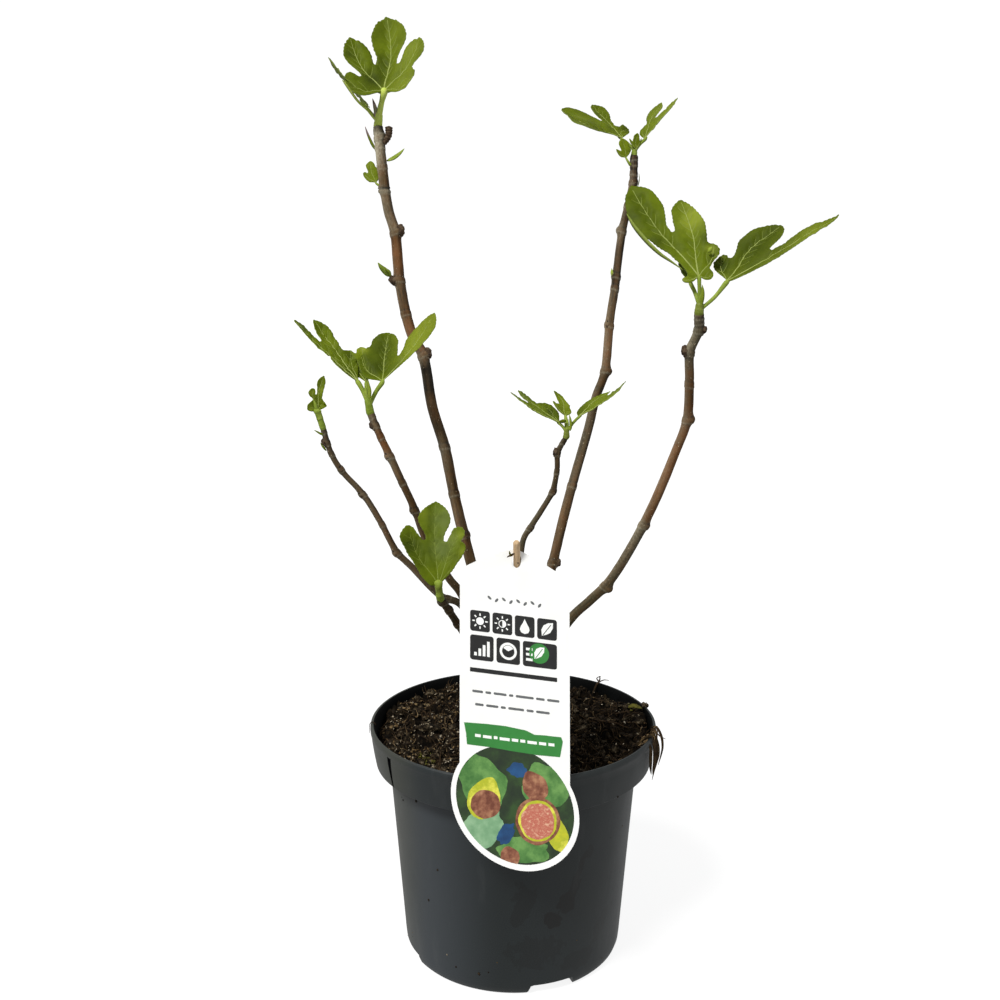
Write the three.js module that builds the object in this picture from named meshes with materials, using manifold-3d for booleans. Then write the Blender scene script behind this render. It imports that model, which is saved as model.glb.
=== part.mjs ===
// Young fig tree, several-stemmed, in a round nursery pot, just coming into leaf.
// Millimetres, +Z up. The origin is the middle of the flat underside of the pot; -Y is the front.
// One rigid assembly: pot, soil, trunk, leader stub, boughs, foliage masses and a hanging plant label.
import * as THREE from 'three';
import { mergeVertices } from 'three/addons/utils/BufferGeometryUtils.js';
import Module from 'manifold-3d';

const wasm = await Module();
wasm.setup();

// ---------------------------------------------------------------- driving dimensions
const GAP = 0.35;              // air between neighbouring solids

// pot
const POT_H = 186;             // height to the rim
const RIM_R = 112;             // outer radius of the rim
const COLLAR_H = 31;           // depth of the collar band under the rim
const COLLAR_FOOT_R = 108.2;   // outer radius of the collar's lower edge
const BODY_TOP_R = 98.3;       // body radius where it leaves the collar
const BODY_FOOT_R = 86.4;      // body radius above the foot chamfer
const FOOT_R = 82;             // outer radius of the foot ring
const FOOT_RING_W = 7.5;
const WALL = 1.6;
const FLOOR_Z = 4;             // underside of the floor plate
const FLOOR_T = 2.6;
const PAD_R = 26;              // flat centre pad under the floor
const POT_SEGMENTS = 32;
const DRAIN = { count: 4, first: 20, width: 37, height: 8.2 };   // gaps in the foot ring, degrees from the front
const COLLAR_SLOT = { at: [-56, 124], width: 2.8, height: 23 };  // narrow slots in the collar

// soil
const SOIL_Z = 174.2;          // mean level, just under the rim
const SOIL_BUMP = 2.6;         // unevenness of its surface
const SOIL_R = 107.4;

// trunk
const TRUNK_FOOT = [0, 2, SOIL_Z + GAP];
const TRUNK_HEIGHT = 36;
const TRUNK_LEAN = [-2.5, -2, 1];     // offset of the fork from the foot, mm
const TRUNK_R = { flare: 18.5, neck: 13.2, fork: 12.4 };

// label
const LABEL = {
  hang: [0, -79, 330.6],       // centre of its hole
  lean: Math.atan(0.2447),     // top leans back from the vertical
  half: 38.3, t: 0.8,          // strip half width, thickness
  peak: 12.8, shoulder: -5.4, slope: 0.11, bow: 1.3,  // along the strip, up from the hole; how far the top drops to the right, and how pointed it is
  disc: { up: -166, a: 49.2, b: 39.5, turn: -45 },   // the oval end
  hole: { rx: 3.1, ry: 5.2, up: 4.6 },
};

// boughs: the leaf-scar nodes from the trunk to the tip, and the radius at both ends
const BOUGHS = {
  bough_tall_left: { r: [4.4, 3.9], nodes: [[-6.5, 4.5, 207], [-17.5, 10, 256], [-32.8, 15.3, 309], [-44.5, 23.3, 355.3], [-53.4, 30.7, 398.3], [-62.7, 36.1, 428.2], [-70.1, 43.1, 468], [-79.4, 46.7, 486.3], [-87.9, 53.6, 524.5], [-91.7, 60.3, 561.8], [-97.1, 63.8, 580.8], [-102.2, 70, 618], [-104.7, 75, 642.3]] },
  bough_mid_left: { r: [3.3, 2.7], nodes: [[-10, 3, 198], [-22.5, -2, 248], [-40.9, -4.9, 291.3], [-49.2, -5.7, 302.6], [-67.7, -8.2, 337], [-74.2, -9.5, 356.7], [-84.9, -11.3, 381.5], [-92, -12.6, 398.4], [-97.6, -13.5, 410.5], [-105.5, -15, 430.9]] },
  bough_far_left: { r: [3.3, 2.1], nodes: [[-10, -4, 202], [-23, -10.5, 250], [-40.5, -16.4, 285.1], [-54.7, -20.2, 292.5], [-76.4, -28.2, 318], [-86.3, -31.9, 329.7], [-97.7, -38.6, 354.6], [-109, -44.8, 375.9], [-123.5, -51.1, 394.6], [-129.7, -54.9, 407.5], [-134.1, -60, 426.1]] },
  shoot_low_left: { r: [3.2, 2.7], nodes: [[-8, -9, 197], [-25, -24, 243], [-41.4, -38.6, 276.2], [-47.6, -46.8, 288.8], [-53.2, -54.5, 300.2]] },
  bough_middle: { r: [2.6, 1.9], nodes: [[4.5, -6.5, 208], [5, -12, 270], [7.1, -18.9, 334.9], [12.2, -21, 345.4], [20.3, -23.8, 358.9], [28.5, -27, 374.7], [31.5, -30, 390.9], [32, -32.5, 403.9], [37.5, -35, 416]] },
  bough_tall_right: { r: [4.2, 3.0], nodes: [[5, 5, 207], [19, 15, 262], [32.5, 24.2, 311.6], [38.8, 30.7, 336.8], [46.8, 38.2, 366], [60.5, 50.3, 412.1], [66.1, 56.1, 434.5], [73, 61.1, 453.1], [77.6, 71.7, 494.3], [81.7, 78.1, 519.3], [85, 85.2, 546.7], [88.4, 90.5, 567], [96.6, 99.7, 602.5], [97.5, 105, 623]] },
  bough_right_lower: { r: [3.7, 3.4], nodes: [[9.5, -1.5, 203], [25, -9, 240], [44.6, -17.4, 275.1], [58.1, -22.4, 290], [70.6, -27.3, 304.7], [86.7, -36.2, 335]] },
  bough_right_upper: { r: [3.4, 3.1], nodes: [[87, -36.5, 335.8], [101.8, -47, 372], [113.3, -57.7, 408], [119.8, -65.1, 432.4], [119.3, -73.6, 461], [118.1, -79.5, 480.5], [122.5, -84.6, 495.6], [121.9, -88, 506.3]] },
};
// the cut-back leader, leaning to the front through the label's hole
const STUB = { r: [2.6, 2.35], nodes: [[0, -8.5, 205], [0.5, -36, 258], [1.2, -64.5, 308], [1.7, -75.4, 329.3], [1.3, -83.5, 350.1]] };

const BLADE_T = 1.6;
// how far up a lobe its margin is drawn: at the foot of its swell, at its widest, and towards its tip
const MARGIN = (m) => [...(m > 0.3 ? [m * 0.5] : []), Math.max(m, 0.1), m + (1 - m) * 0.5, m + (1 - m) * 0.85];

// leaves: where the blade meets its stalk, the way the midrib runs, the way the upper face looks, the size, how far it
// folds and cups, and which lobe is the middle one; then each lobe [degrees off the midrib, reach over size, half width
// and where it is widest, for its lower and its higher side, how blunt its tip is, how slow its foot], and each notch
const LEAVES = {
  a_front: { at: [-98.9, 68, 666.9], along: [0.005, 0.737, 0.676], face: [-0.102, -0.672, 0.733], size: 81.2, fold: 0.38, cup: 0.22, mid: 2,
    lobes: [[-81.4, 0.391, 0.204, 0.48, 0.083, 0.58], [-30.8, 0.689, 0.182, 0.45, 0.109, 0.42], [0.4, 0.927, 0.148, 0.54, 0.222, 0.5], [37.4, 0.628, 0.094, 0.55, 0.185, 0.43], [77.1, 0.353, 0.024, 0.08, 0.175, 0.46, 2.4]],
    notches: [[-62.6, 0.257], [-15.2, 0.348], [25.7, 0.33], [64.6, 0.34]] },
  a_side: { at: [-117.5, 82, 661.7], along: [-0.68, 0.03, 0.73], face: [0.73, 0.01, 0.68], size: 40.3, fold: 0.02, cup: 0.06, mid: 2,
    lobes: [[-99, 0.54, 0.13, 0.5, 0.13, 0.5], [-42, 0.85, 0.17, 0.5, 0.18, 0.5], [0, 1.04, 0.2, 0.5, 0.2, 0.5], [51, 0.8, 0.18, 0.5, 0.17, 0.5], [90, 0.49, 0.13, 0.5, 0.13, 0.5]],
    notches: [[-72, 0.36], [-22, 0.47], [22, 0.47], [72, 0.36]] },
  b_leaf: { at: [-137.4, -61, 438.2], along: [0.187, 0.168, 0.968], face: [0.05, -0.986, 0.161], size: 25.2, fold: 0.3, cup: -0.05, mid: 2,
    lobes: [[-90.3, 0.298, 0.05, 0.59, 0.147, 0.9, 3], [-24.5, 0.652, 0.126, 0.49, 0.075, 0.42, 3], [0, 1, 0.157, 0.62, 0.074, 0.69, 1.7], [53.5, 0.309, 0.153, 0.08, 0.012, 0.52]],
    notches: [[-36.8, 0.331], [-15.4, 0.457], [13.1, 0.361]] },
  c_left: { at: [-114.2, -12, 452.7], along: [-0.597, 0.494, 0.632], face: [0.35, -0.549, 0.759], size: 64.1, fold: 0.12, cup: 0.08, mid: 2,
    lobes: [[-16.4, 0.444, 0.038, 0.51, 0.04, 0.08, 2.4, 0.8], [-15.5, 1.058, 0.024, 0.59, 0.064, 0.53], [-0.2, 0.995, 0.071, 0.42, 0.108, 0.55, 2.6], [21.2, 0.471, 0.075, 0.08, 0.043, 0.58]],
    notches: [[-11.6, 0.479], [-7.7, 0.691], [12.6, 0.478]] },
  c_right: { at: [-96.2, -15, 453.7], along: [0.072, 0.758, 0.648], face: [-0.23, -0.62, 0.75], size: 47.1, fold: 0.3, cup: 0.1, mid: 1,
    lobes: [[-39.3, 0.627, 0.184, 0.31, 0.073, 0.92, 2.4], [0.2, 0.988, 0.26, 0.23, 0.215, 0.41, 2.4], [44.6, 1.301, 0.203, 0.39, 0.247, 0.8, 2.4]],
    notches: [[-24.7, 0.719], [30.3, 0.494]] },
  c_mid: { at: [-108.7, -9, 452.3], along: [-0.151, 0.659, 0.737], face: [-0.1, -0.752, 0.652], size: 32.5, fold: 0.2, cup: 0.05, mid: 1,
    lobes: [[-23.1, 0.966, 0.143, 0.44, 0.129, 0.68], [0, 0.997, 0.13, 0.3, 0.127, 0.39, 2.4], [23.8, 0.609, 0.092, 0.08, 0.07, 0.49]],
    notches: [[-10.9, 0.837], [11.1, 0.72]] },
  d_left: { at: [33.1, -35, 425.4], along: [-0.863, 0.063, 0.501], face: [0.451, -0.35, 0.821], size: 42.8, fold: 0.1, cup: 0.02, mid: 0,
    lobes: [[-0, 1, 0.124, 0.51, 0.012, 0.27, 1.6, 0.7], [12.4, 0.922, 0.086, 0.08, 0.066, 0.38], [30.1, 0.514, 0.116, 0.08, 0.16, 0.52, 3]],
    notches: [[3.4, 0.624], [20.2, 0.536]] },
  d_right: { at: [46.4, -35, 430.2], along: [0.853, 0.029, 0.52], face: [-0.489, -0.3, 0.819], size: 42.6, fold: 0.05, cup: 0.1, mid: 1,
    lobes: [[-8.9, 0.696, 0.196, 0.34, 0.038, 0.5, 2.4, 0.4], [0.4, 1, 0.012, 0.17, 0.093, 0.59, 1.6, 0.7]],
    notches: [[-2.8, 0.613]] },
  d_mid: { at: [37.2, -31, 430.4], along: [-0.441, 0.268, 0.857], face: [0.302, -0.855, 0.422], size: 20.6, fold: 0.3, cup: 0.05, mid: 1,
    lobes: [[-19.9, 0.716, 0.078, 0.44, 0.059, 0.52], [-0, 1, 0.012, 0.36, 0.229, 0.36], [72.3, 0.288, 0.159, 0.08, 0.057, 0.67, 3]],
    notches: [[-1, 0.479], [48.3, 0.429]] },
  e_left: { at: [87.2, 105, 636.2], along: [-0.88, 0.141, 0.453], face: [0.35, -0.451, 0.821], size: 54.1, fold: 0.15, cup: -0.03, mid: 0,
    lobes: [[-0, 1.002, 0.514, 0.61, 0.148, 0.65, 1.8, 1.25], [38, 0.861, 0.127, 0.46, 0.147, 0.71, 2.4], [91.9, 0.348, 0.128, 0.92, 0.028, 0.53, 3]],
    notches: [[23.4, 0.439], [56.1, 0.29]] },
  e_right: { at: [106, 105, 635.8], along: [0.607, 0.102, 0.788], face: [-0.72, -0.35, 0.6], size: 42.2, fold: 0.1, cup: -0.04, mid: 2,
    lobes: [[-66.7, 0.371, 0.039, 0.61, 0.043, 0.92, 3], [-26, 0.932, 0.243, 0.51, 0.111, 0.46, 2.2], [0.1, 1.003, 0.075, 0.56, 0.093, 0.51, 1.8]],
    notches: [[-49.9, 0.402], [-16.8, 0.498]] },
  f_left: { at: [121.1, -88, 530.1], along: [-0.144, 0.53, 0.835], face: [-0.124, -0.847, 0.517], size: 63.1, fold: 0.05, cup: -0.05, mid: 2,
    lobes: [[-91.5, 0.186, 0.049, 0.57, 0.03, 0.12, 3], [-20.5, 1.385, 0.239, 0.58, 0.163, 0.52, 3.4], [-0, 0.998, 0.126, 0.62, 0.189, 0.35, 1.8], [33.3, 0.423, 0.033, 0.08, 0.089, 0.65, 3], [87.9, 0.154, 0.032, 0.79, 0.064, 0.55, 3]],
    notches: [[-73.2, 0.13], [-14.9, 0.608], [26.9, 0.418], [67.2, 0.15]] },
  f_back: { at: [116.9, -80, 526.4], along: [0.096, 0.791, 0.605], face: [-0.1, -0.597, 0.796], size: 41.3, fold: 0.3, cup: 0.05, mid: 1,
    lobes: [[-26.4, 0.469, 0.046, 0.4, 0.102, 0.92], [-0, 0.993, 0.105, 0.39, 0.117, 0.37], [23.1, 0.502, 0.083, 0.92, 0.042, 0.45]],
    notches: [[-10.8, 0.565], [10.1, 0.56]] },
  f_right: { at: [139.7, -88, 527.2], along: [0.713, 0.3, 0.633], face: [-0.359, -0.619, 0.699], size: 54.6, fold: 0.1, cup: 0.05, mid: 1,
    lobes: [[-49, 0.421, 0.122, 0.61, 0.057, 0.52, 2.6], [0.1, 0.999, 0.278, 0.39, 0.143, 0.5, 2.8], [24.1, 1.501, 0.1, 0.53, 0.098, 0.59, 1.5, 0.35]],
    notches: [[-35.4, 0.349], [14.6, 0.643]] },
  g_leaf: { at: [-54.4, -60, 312.2], along: [-0.045, 0.408, 0.912], face: [-0.051, -0.913, 0.406], size: 61.8, fold: 0.3, cup: -0.04, mid: 1,
    lobes: [[-26.1, 0.796, 0.153, 0.83, 0.062, 0.54, 3, 0.22], [0, 1, 0.213, 0.54, 0.18, 0.52, 2.1], [25.9, 0.73, 0.097, 0.54, 0.062, 0.38, 3.2], [40.5, 0.548, 0.025, 0.08, 0.038, 0.63, 3.4, 0.6]],
    notches: [[-15.8, 0.556], [12, 0.513], [33.5, 0.572]] },
  a_back: { at: [-101.3, 84, 666.7], along: [-0.034, 0.801, 0.598], face: [-0.05, -0.599, 0.799], size: 63.3, fold: 0.25, cup: 0.05, mid: 1,
    lobes: [[-44.4, 0.35, 0.074, 0.4, 0.193, 0.92], [0, 0.988, 0.108, 0.41, 0.129, 0.39], [56.8, 0.324, 0.228, 0.92, 0.119, 0.48]],
    notches: [[-14.8, 0.446], [18.7, 0.417]] },
};

// foliage masses: the bough each one crowns, the length of its green shoot, and its leaves
const MASSES = {
  foliage_tall_left: { on: 'bough_tall_left', shoot: 8, leaves: ['a_front', 'a_side', 'a_back'] },
  foliage_far_left: { on: 'bough_far_left', shoot: 8, leaves: ['b_leaf'] },
  foliage_mid_left: { on: 'bough_mid_left', shoot: 9, leaves: ['c_left', 'c_right', 'c_mid'] },
  foliage_low_left: { on: 'shoot_low_left', shoot: 5, leaves: ['g_leaf'] },
  foliage_middle: { on: 'bough_middle', shoot: 5, leaves: ['d_left', 'd_right', 'd_mid'] },
  foliage_tall_right: { on: 'bough_tall_right', shoot: 6, leaves: ['e_left', 'e_right'] },
  foliage_right_inner: { on: 'bough_right_upper', shoot: 6, leaves: ['f_left', 'f_back'] },
  foliage_right_outer: { on: 'bough_right_upper', side: [0.72, 0, 0.7], shoot: 1, leaves: ['f_right'] },
};

// ---------------------------------------------------------------- helpers
const V = (p) => new THREE.Vector3(...p);
const rad = THREE.MathUtils.degToRad;

function solid(geometry) {
  const g = geometry.index ? geometry.toNonIndexed() : geometry.clone();
  for (const name of Object.keys(g.attributes)) if (name !== 'position') g.deleteAttribute(name);
  const m = mergeVertices(g, 1e-4);
  return new wasm.Manifold(new wasm.Mesh({
    numProp: 3, vertProperties: new Float32Array(m.attributes.position.array), triVerts: new Uint32Array(m.index.array),
  }));
}

function geometryOf(manifold) {
  const parts = manifold.decompose();
  let best = parts[0];
  for (const p of parts) if (p.volume() > best.volume()) best = p;
  const mesh = best.simplify(0.07).getMesh();
  const g = new THREE.BufferGeometry();
  const stride = mesh.numProp, n = mesh.vertProperties.length / stride;
  const pos = new Float32Array(n * 3);
  for (let i = 0; i < n; i++) for (let k = 0; k < 3; k++) pos[3 * i + k] = mesh.vertProperties[i * stride + k];
  g.setAttribute('position', new THREE.BufferAttribute(pos, 3));
  g.setIndex(new THREE.BufferAttribute(new Uint32Array(mesh.triVerts), 1));
  return g;
}

function fromLists(verts, faces) {
  const g = new THREE.BufferGeometry();
  g.setAttribute('position', new THREE.Float32BufferAttribute(verts.flat(), 3));
  g.setIndex(faces.flat());
  return g;
}

// a closed tapering limb through its nodes, a little swollen at each node
function limb(nodes, radii, { sides = 8, swell = 1.13, between = 1, grow = 0 } = {}) {
  const curve = new THREE.CatmullRomCurve3(nodes.map(V), false, 'centripetal');
  const spans = nodes.length - 1, steps = spans * (between + 1);
  const verts = [], faces = [];
  let side = null, lastT = null;
  for (let i = 0; i <= steps; i++) {
    const u = i / steps, p = curve.getPoint(u), t = curve.getTangent(u).normalize();
    if (!side) side = new THREE.Vector3(0, 1, 0).cross(t).normalize();
    else side.applyQuaternion(new THREE.Quaternion().setFromUnitVectors(lastT, t)).projectOnPlane(t).normalize();
    lastT = t.clone();
    const up = t.clone().cross(side);
    const atNode = i % (between + 1) === 0 && i > 0 && i < steps;
    const r = (radii[0] + (radii[1] - radii[0]) * u) * (atNode ? swell : 1) + grow;
    if (i === 0) p.addScaledVector(t, -grow);
    if (i === steps) p.addScaledVector(t, grow);
    for (let k = 0; k < sides; k++) {
      const a = 2 * Math.PI * k / sides;
      const q = p.clone().addScaledVector(side, r * Math.cos(a)).addScaledVector(up, r * Math.sin(a));
      verts.push([q.x, q.y, q.z]);
    }
    if (i === 0 || i === steps) verts.push([p.x, p.y, p.z]);
  }
  // the first ring is followed by its centre, so later rings sit one further on
  const ring = (i, k) => i * sides + (k % sides) + (i > 0 ? 1 : 0);
  for (let i = 0; i < steps; i++) for (let k = 0; k < sides; k++) {
    faces.push([ring(i, k), ring(i, k + 1), ring(i + 1, k + 1)], [ring(i, k), ring(i + 1, k + 1), ring(i + 1, k)]);
  }
  const c0 = sides, c1 = verts.length - 1;
  for (let k = 0; k < sides; k++) {
    faces.push([c0, ring(0, k + 1), ring(0, k)], [c1, ring(steps, k), ring(steps, k + 1)]);
  }
  return solid(fromLists(verts, faces));
}

const along = ([deg, r]) => [r * Math.cos(rad(deg)), r * Math.sin(rad(deg))];

// a lobe's half width from its notch (x = 0) to its tip (x = 1); a side with no notch starts at the stalk
function lobeHalf(x, h0, w, m, foot, blunt, root) {
  if (x >= m) return w * (1 - ((x - m) / (1 - m)) ** blunt);
  if (root) return w * Math.sin((Math.PI / 2) * (x / m)) ** foot;
  const t = h0 < w ? Math.min(1, Math.max(0, (x / m - 0.12) / 0.88)) : x / m;
  return h0 + (w - h0) * t * t * (3 - 2 * t);
}

// the blade's margin in [along, across] over its size, from the stalk round to the stalk, and the middle lobe's tip in it
function margin(leaf) {
  const out = [[0, 0]];
  let tip = 0;
  leaf.lobes.forEach(([deg, reach, w0, m0, w1, m1, blunt = 2, slow = 1.6], i) => {
    const a = along([deg, 1]), p = [-a[1], a[0]];
    const feet = [leaf.notches[i - 1], leaf.notches[i]].map((q) => (q ? along(q) : null));
    const edge = (k, x) => {
      const f = feet[k];
      const s0 = f ? f[0] * a[0] + f[1] * a[1] : 0;
      const h0 = Math.max(0.01, (f ? Math.abs(f[0] * p[0] + f[1] * p[1]) : 0) - Math.min(1.3 / leaf.size, 0.022));
      const s = s0 + (reach - s0) * x;
      const h = (k ? 1 : -1) * lobeHalf(x, h0, k ? w1 : w0, k ? m1 : m0, slow, blunt, !f);
      return [a[0] * s + p[0] * h, a[1] * s + p[1] * h];
    };
    for (const x of MARGIN(m0)) out.push(edge(0, x));
    if (i === leaf.mid) tip = out.length;
    out.push([a[0] * reach, a[1] * reach]);
    for (const x of MARGIN(m1).reverse()) out.push(edge(1, x));
    if (feet[1]) out.push(feet[1]);
  });
  return { out, tip };
}

// a thin leaf blade as one closed pad, folded along the midrib and cupped
function blade(leaf) {
  const m = V(leaf.along).normalize();
  const n = V(leaf.face).projectOnPlane(m).normalize();
  const l = new THREE.Vector3().crossVectors(m, n);
  const L = leaf.size, soft = 0.04;
  const place = ([u, v], lift) => {
    const av = Math.sqrt(v * v + soft * soft) - soft, rr = u * u + v * v;
    const w = av * Math.sin(leaf.fold) + leaf.cup * rr;
    const p = V(leaf.at).addScaledVector(m, u * L).addScaledVector(l, v * Math.cos(leaf.fold) * L).addScaledVector(n, w * L + lift);
    return [p.x, p.y, p.z];
  };
  const { out, tip } = margin(leaf);
  const M = out.length, rib = 4;
  const flat = [...out];
  // points on the midrib, where the blade folds; they bow a little, as midribs do
  const spine = [];
  for (let k = 1; k < rib; k++) spine.push(flat.push([(out[tip][0] * k) / rib, (out[tip][1] * k) / rib + 0.006 * Math.sin((Math.PI * k) / rib)]) - 1);
  const lower = [...Array(tip + 1).keys(), ...[...spine].reverse()];
  const higher = [0, ...spine, ...Array.from({ length: M - tip }, (_, k) => tip + k)];
  const top = [];
  for (const half of [lower, higher]) {
    const ring = half.map((i) => new THREE.Vector2(flat[i][0], flat[i][1]));
    const turn = THREE.ShapeUtils.area(ring) > 0 ? 1 : -1;
    for (const [a, b, c] of THREE.ShapeUtils.triangulateShape(ring, [])) {
      const [A, B, C] = [half[a], half[b], half[c]];
      const way = (flat[B][0] - flat[A][0]) * (flat[C][1] - flat[A][1]) - (flat[C][0] - flat[A][0]) * (flat[B][1] - flat[A][1]);
      top.push(way * turn > 0 === turn > 0 ? [A, B, C] : [A, C, B]);
    }
  }
  const N = flat.length, verts = [], faces = [];
  for (const q of flat) verts.push(place(q, BLADE_T / 2));
  for (const q of flat) verts.push(place(q, -BLADE_T / 2));
  for (const [a, b, c] of top) faces.push([a, c, b], [a + N, b + N, c + N]);
  for (let i = 0; i < M; i++) {
    const j = (i + 1) % M;
    faces.push([i, j, j + N], [i, j + N, i + N]);
  }
  const s = solid(fromLists(verts, faces));
  return s.volume() > 0 ? s : solid(fromLists(verts, faces.map(([a, b, c]) => [a, c, b])));
}

// a green shoot with the stalks and blades that grow from it, as one body
function mass({ on, shoot, side, leaves }) {
  const nodes = BOUGHS[on].nodes, r = BOUGHS[on].r[1];
  const end = V(nodes[nodes.length - 1]), before = V(nodes[nodes.length - 2]);
  const dir = end.clone().sub(before).normalize();
  let foot, top;
  if (side) {
    const d = V(side).normalize();
    foot = end.clone().addScaledVector(d, r + GAP + 1.6);
    top = foot.clone().addScaledVector(d, shoot);
  } else {
    foot = end.clone().addScaledVector(dir, GAP);
    top = foot.clone().addScaledVector(dir, shoot);
  }
  let body = side ? null : limb([foot.toArray(), foot.clone().lerp(top, 0.5).toArray(), top.toArray()], [r * 0.86, r * 0.6], { sides: 7, swell: 1, between: 0 });
  for (const name of leaves) {
    const leaf = LEAVES[name];
    const base = V(leaf.at), way = V(leaf.along).normalize();
    const start = side ? foot : foot.clone().lerp(top, 0.55);
    const into = base.clone().addScaledVector(way, leaf.size * 0.1);
    const bend = start.clone().lerp(base, 0.5).addScaledVector(dir, 0.08 * start.distanceTo(base));
    const stalk = limb([start.toArray(), bend.toArray(), base.toArray(), into.toArray()], [1.6, 1.1], { sides: 4, swell: 1, between: 0 });
    const one = stalk.add(blade(leaf));
    body = body ? body.add(one) : one;
  }
  return body;
}

// a turned body: profile of [radius, z], with the height of its top points shaped by a function
function turned(profile, segments, shape = null) {
  const pts = profile.map(([r, z]) => new THREE.Vector2(r, z));
  const g = new THREE.LatheGeometry(pts, segments);
  g.rotateX(Math.PI / 2);
  if (shape) {
    const pos = g.attributes.position;
    for (let i = 0; i < pos.count; i++) {
      const x = pos.getX(i), y = pos.getY(i), z = pos.getZ(i);
      pos.setZ(i, shape(x, y, z));
    }
  }
  let s = solid(g);
  if (s.volume() < 0) {
    const index = g.index.array;
    for (let i = 0; i < index.length; i += 3) [index[i + 1], index[i + 2]] = [index[i + 2], index[i + 1]];
    s = solid(g);
  }
  return s;
}

function block(sx, sy, sz, x, y, z, turn = 0) {
  const g = new THREE.BoxGeometry(sx, sy, sz);
  g.translate(x, y, z);
  g.rotateZ(turn);
  return solid(g);
}

// ---------------------------------------------------------------- pot
function makePot() {
  const collarZ = POT_H - COLLAR_H, floorTop = FLOOR_Z + FLOOR_T;
  const inner = BODY_TOP_R - WALL, innerFoot = BODY_FOOT_R - WALL - 0.2;
  let pot = turned([
    [0, 0], [PAD_R, 0], [PAD_R + 2, FLOOR_Z], [FOOT_R - FOOT_RING_W - 1.5, FLOOR_Z], [FOOT_R - FOOT_RING_W, 0], [FOOT_R, 0], [FOOT_R + 2.6, 2.4],
    [BODY_FOOT_R, 10], [BODY_TOP_R, collarZ], [COLLAR_FOOT_R, collarZ], [RIM_R - 0.3, POT_H - 6], [RIM_R, POT_H - 1.8], [RIM_R - 0.9, POT_H],
    [RIM_R - 2.8, POT_H], [RIM_R - 3.4, POT_H - 2], [COLLAR_FOOT_R - WALL, collarZ + 2.2], [inner + 0.3, collarZ + 1.8], [innerFoot, 10.4], [FOOT_R + 0.6, floorTop], [0, floorTop],
  ], POT_SEGMENTS);
  for (let i = 0; i < DRAIN.count; i++) {
    const turn = rad(DRAIN.first + i * 360 / DRAIN.count);
    pot = pot.subtract(block(DRAIN.width, 22, DRAIN.height + 2, 0, -(FOOT_R + 3), DRAIN.height / 2 - 1, turn));
  }
  for (const at of COLLAR_SLOT.at) {
    pot = pot.subtract(block(COLLAR_SLOT.width, 9, COLLAR_SLOT.height + 2, 0, -(COLLAR_FOOT_R - 1), collarZ + COLLAR_SLOT.height / 2 - 1, rad(at)));
  }
  return pot;
}

// ---------------------------------------------------------------- soil
function makeSoil() {
  const collarZ = POT_H - COLLAR_H, floorTop = FLOOR_Z + FLOOR_T;
  const rings = [SOIL_R, SOIL_R * 0.85, SOIL_R * 0.6, 24];
  const profile = [
    [0, floorTop + GAP], [FOOT_R - 1, floorTop + GAP], [BODY_FOOT_R - WALL - 1, 12], [BODY_TOP_R - WALL - 0.9, collarZ + 2.6], [COLLAR_FOOT_R - WALL - 0.9, collarZ + 2.9],
    ...rings.map((r) => [r, SOIL_Z]), [0, SOIL_Z],
  ];
  const bumps = (x, y, z) => {
    if (Math.abs(z - SOIL_Z) > 0.01) return z;
    const r = Math.hypot(x, y);
    const fade = THREE.MathUtils.smoothstep(r, 22, 40);
    const wave = Math.sin(x * 0.083 + 1.1) * Math.cos(y * 0.071 - 0.4) + 0.6 * Math.sin(x * 0.19 - y * 0.13 + 2.0);
    return z + fade * (SOIL_BUMP * wave * 0.6 - 0.6);
  };
  return turned(profile, POT_SEGMENTS, bumps);
}

// ---------------------------------------------------------------- trunk
function trunkNodes() {
  const [x, y, z] = TRUNK_FOOT, [dx, dy] = TRUNK_LEAN;
  return [0, 0.12, 0.35, 0.7, 1].map((t) => [x + dx * t, y + dy * t, z + TRUNK_HEIGHT * t]);
}
function makeTrunk(grow = 0) {
  const nodes = trunkNodes();
  const radii = [TRUNK_R.flare, TRUNK_R.flare * 0.86, TRUNK_R.neck, TRUNK_R.fork * 0.97, TRUNK_R.fork];
  const sides = 16, verts = [], faces = [];
  nodes.forEach(([x, y, z], i) => {
    for (let k = 0; k < sides; k++) {
      const a = 2 * Math.PI * k / sides;
      const lobes = i < 2 ? 1 + 0.09 * Math.cos(5 * a + 0.6) : 1 + 0.04 * Math.cos(3 * a);
      const r = radii[i] * lobes + grow;
      verts.push([x + r * Math.cos(a), y + r * Math.sin(a), z + (i === nodes.length - 1 ? grow : 0)]);
    }
  });
  const base = verts.length;
  verts.push([nodes[0][0], nodes[0][1], nodes[0][2]]);
  const last = nodes[nodes.length - 1];
  verts.push([last[0], last[1], last[2] + 2.5 + grow]);
  for (let i = 0; i < nodes.length - 1; i++) for (let k = 0; k < sides; k++) {
    const a = i * sides + k, b = i * sides + (k + 1) % sides, c = b + sides, d = a + sides;
    faces.push([a, b, c], [a, c, d]);
  }
  const t = (nodes.length - 1) * sides;
  for (let k = 0; k < sides; k++) {
    faces.push([base, (k + 1) % sides, k], [base + 1, t + k, t + (k + 1) % sides]);
  }
  return solid(fromLists(verts, faces));
}

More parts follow.
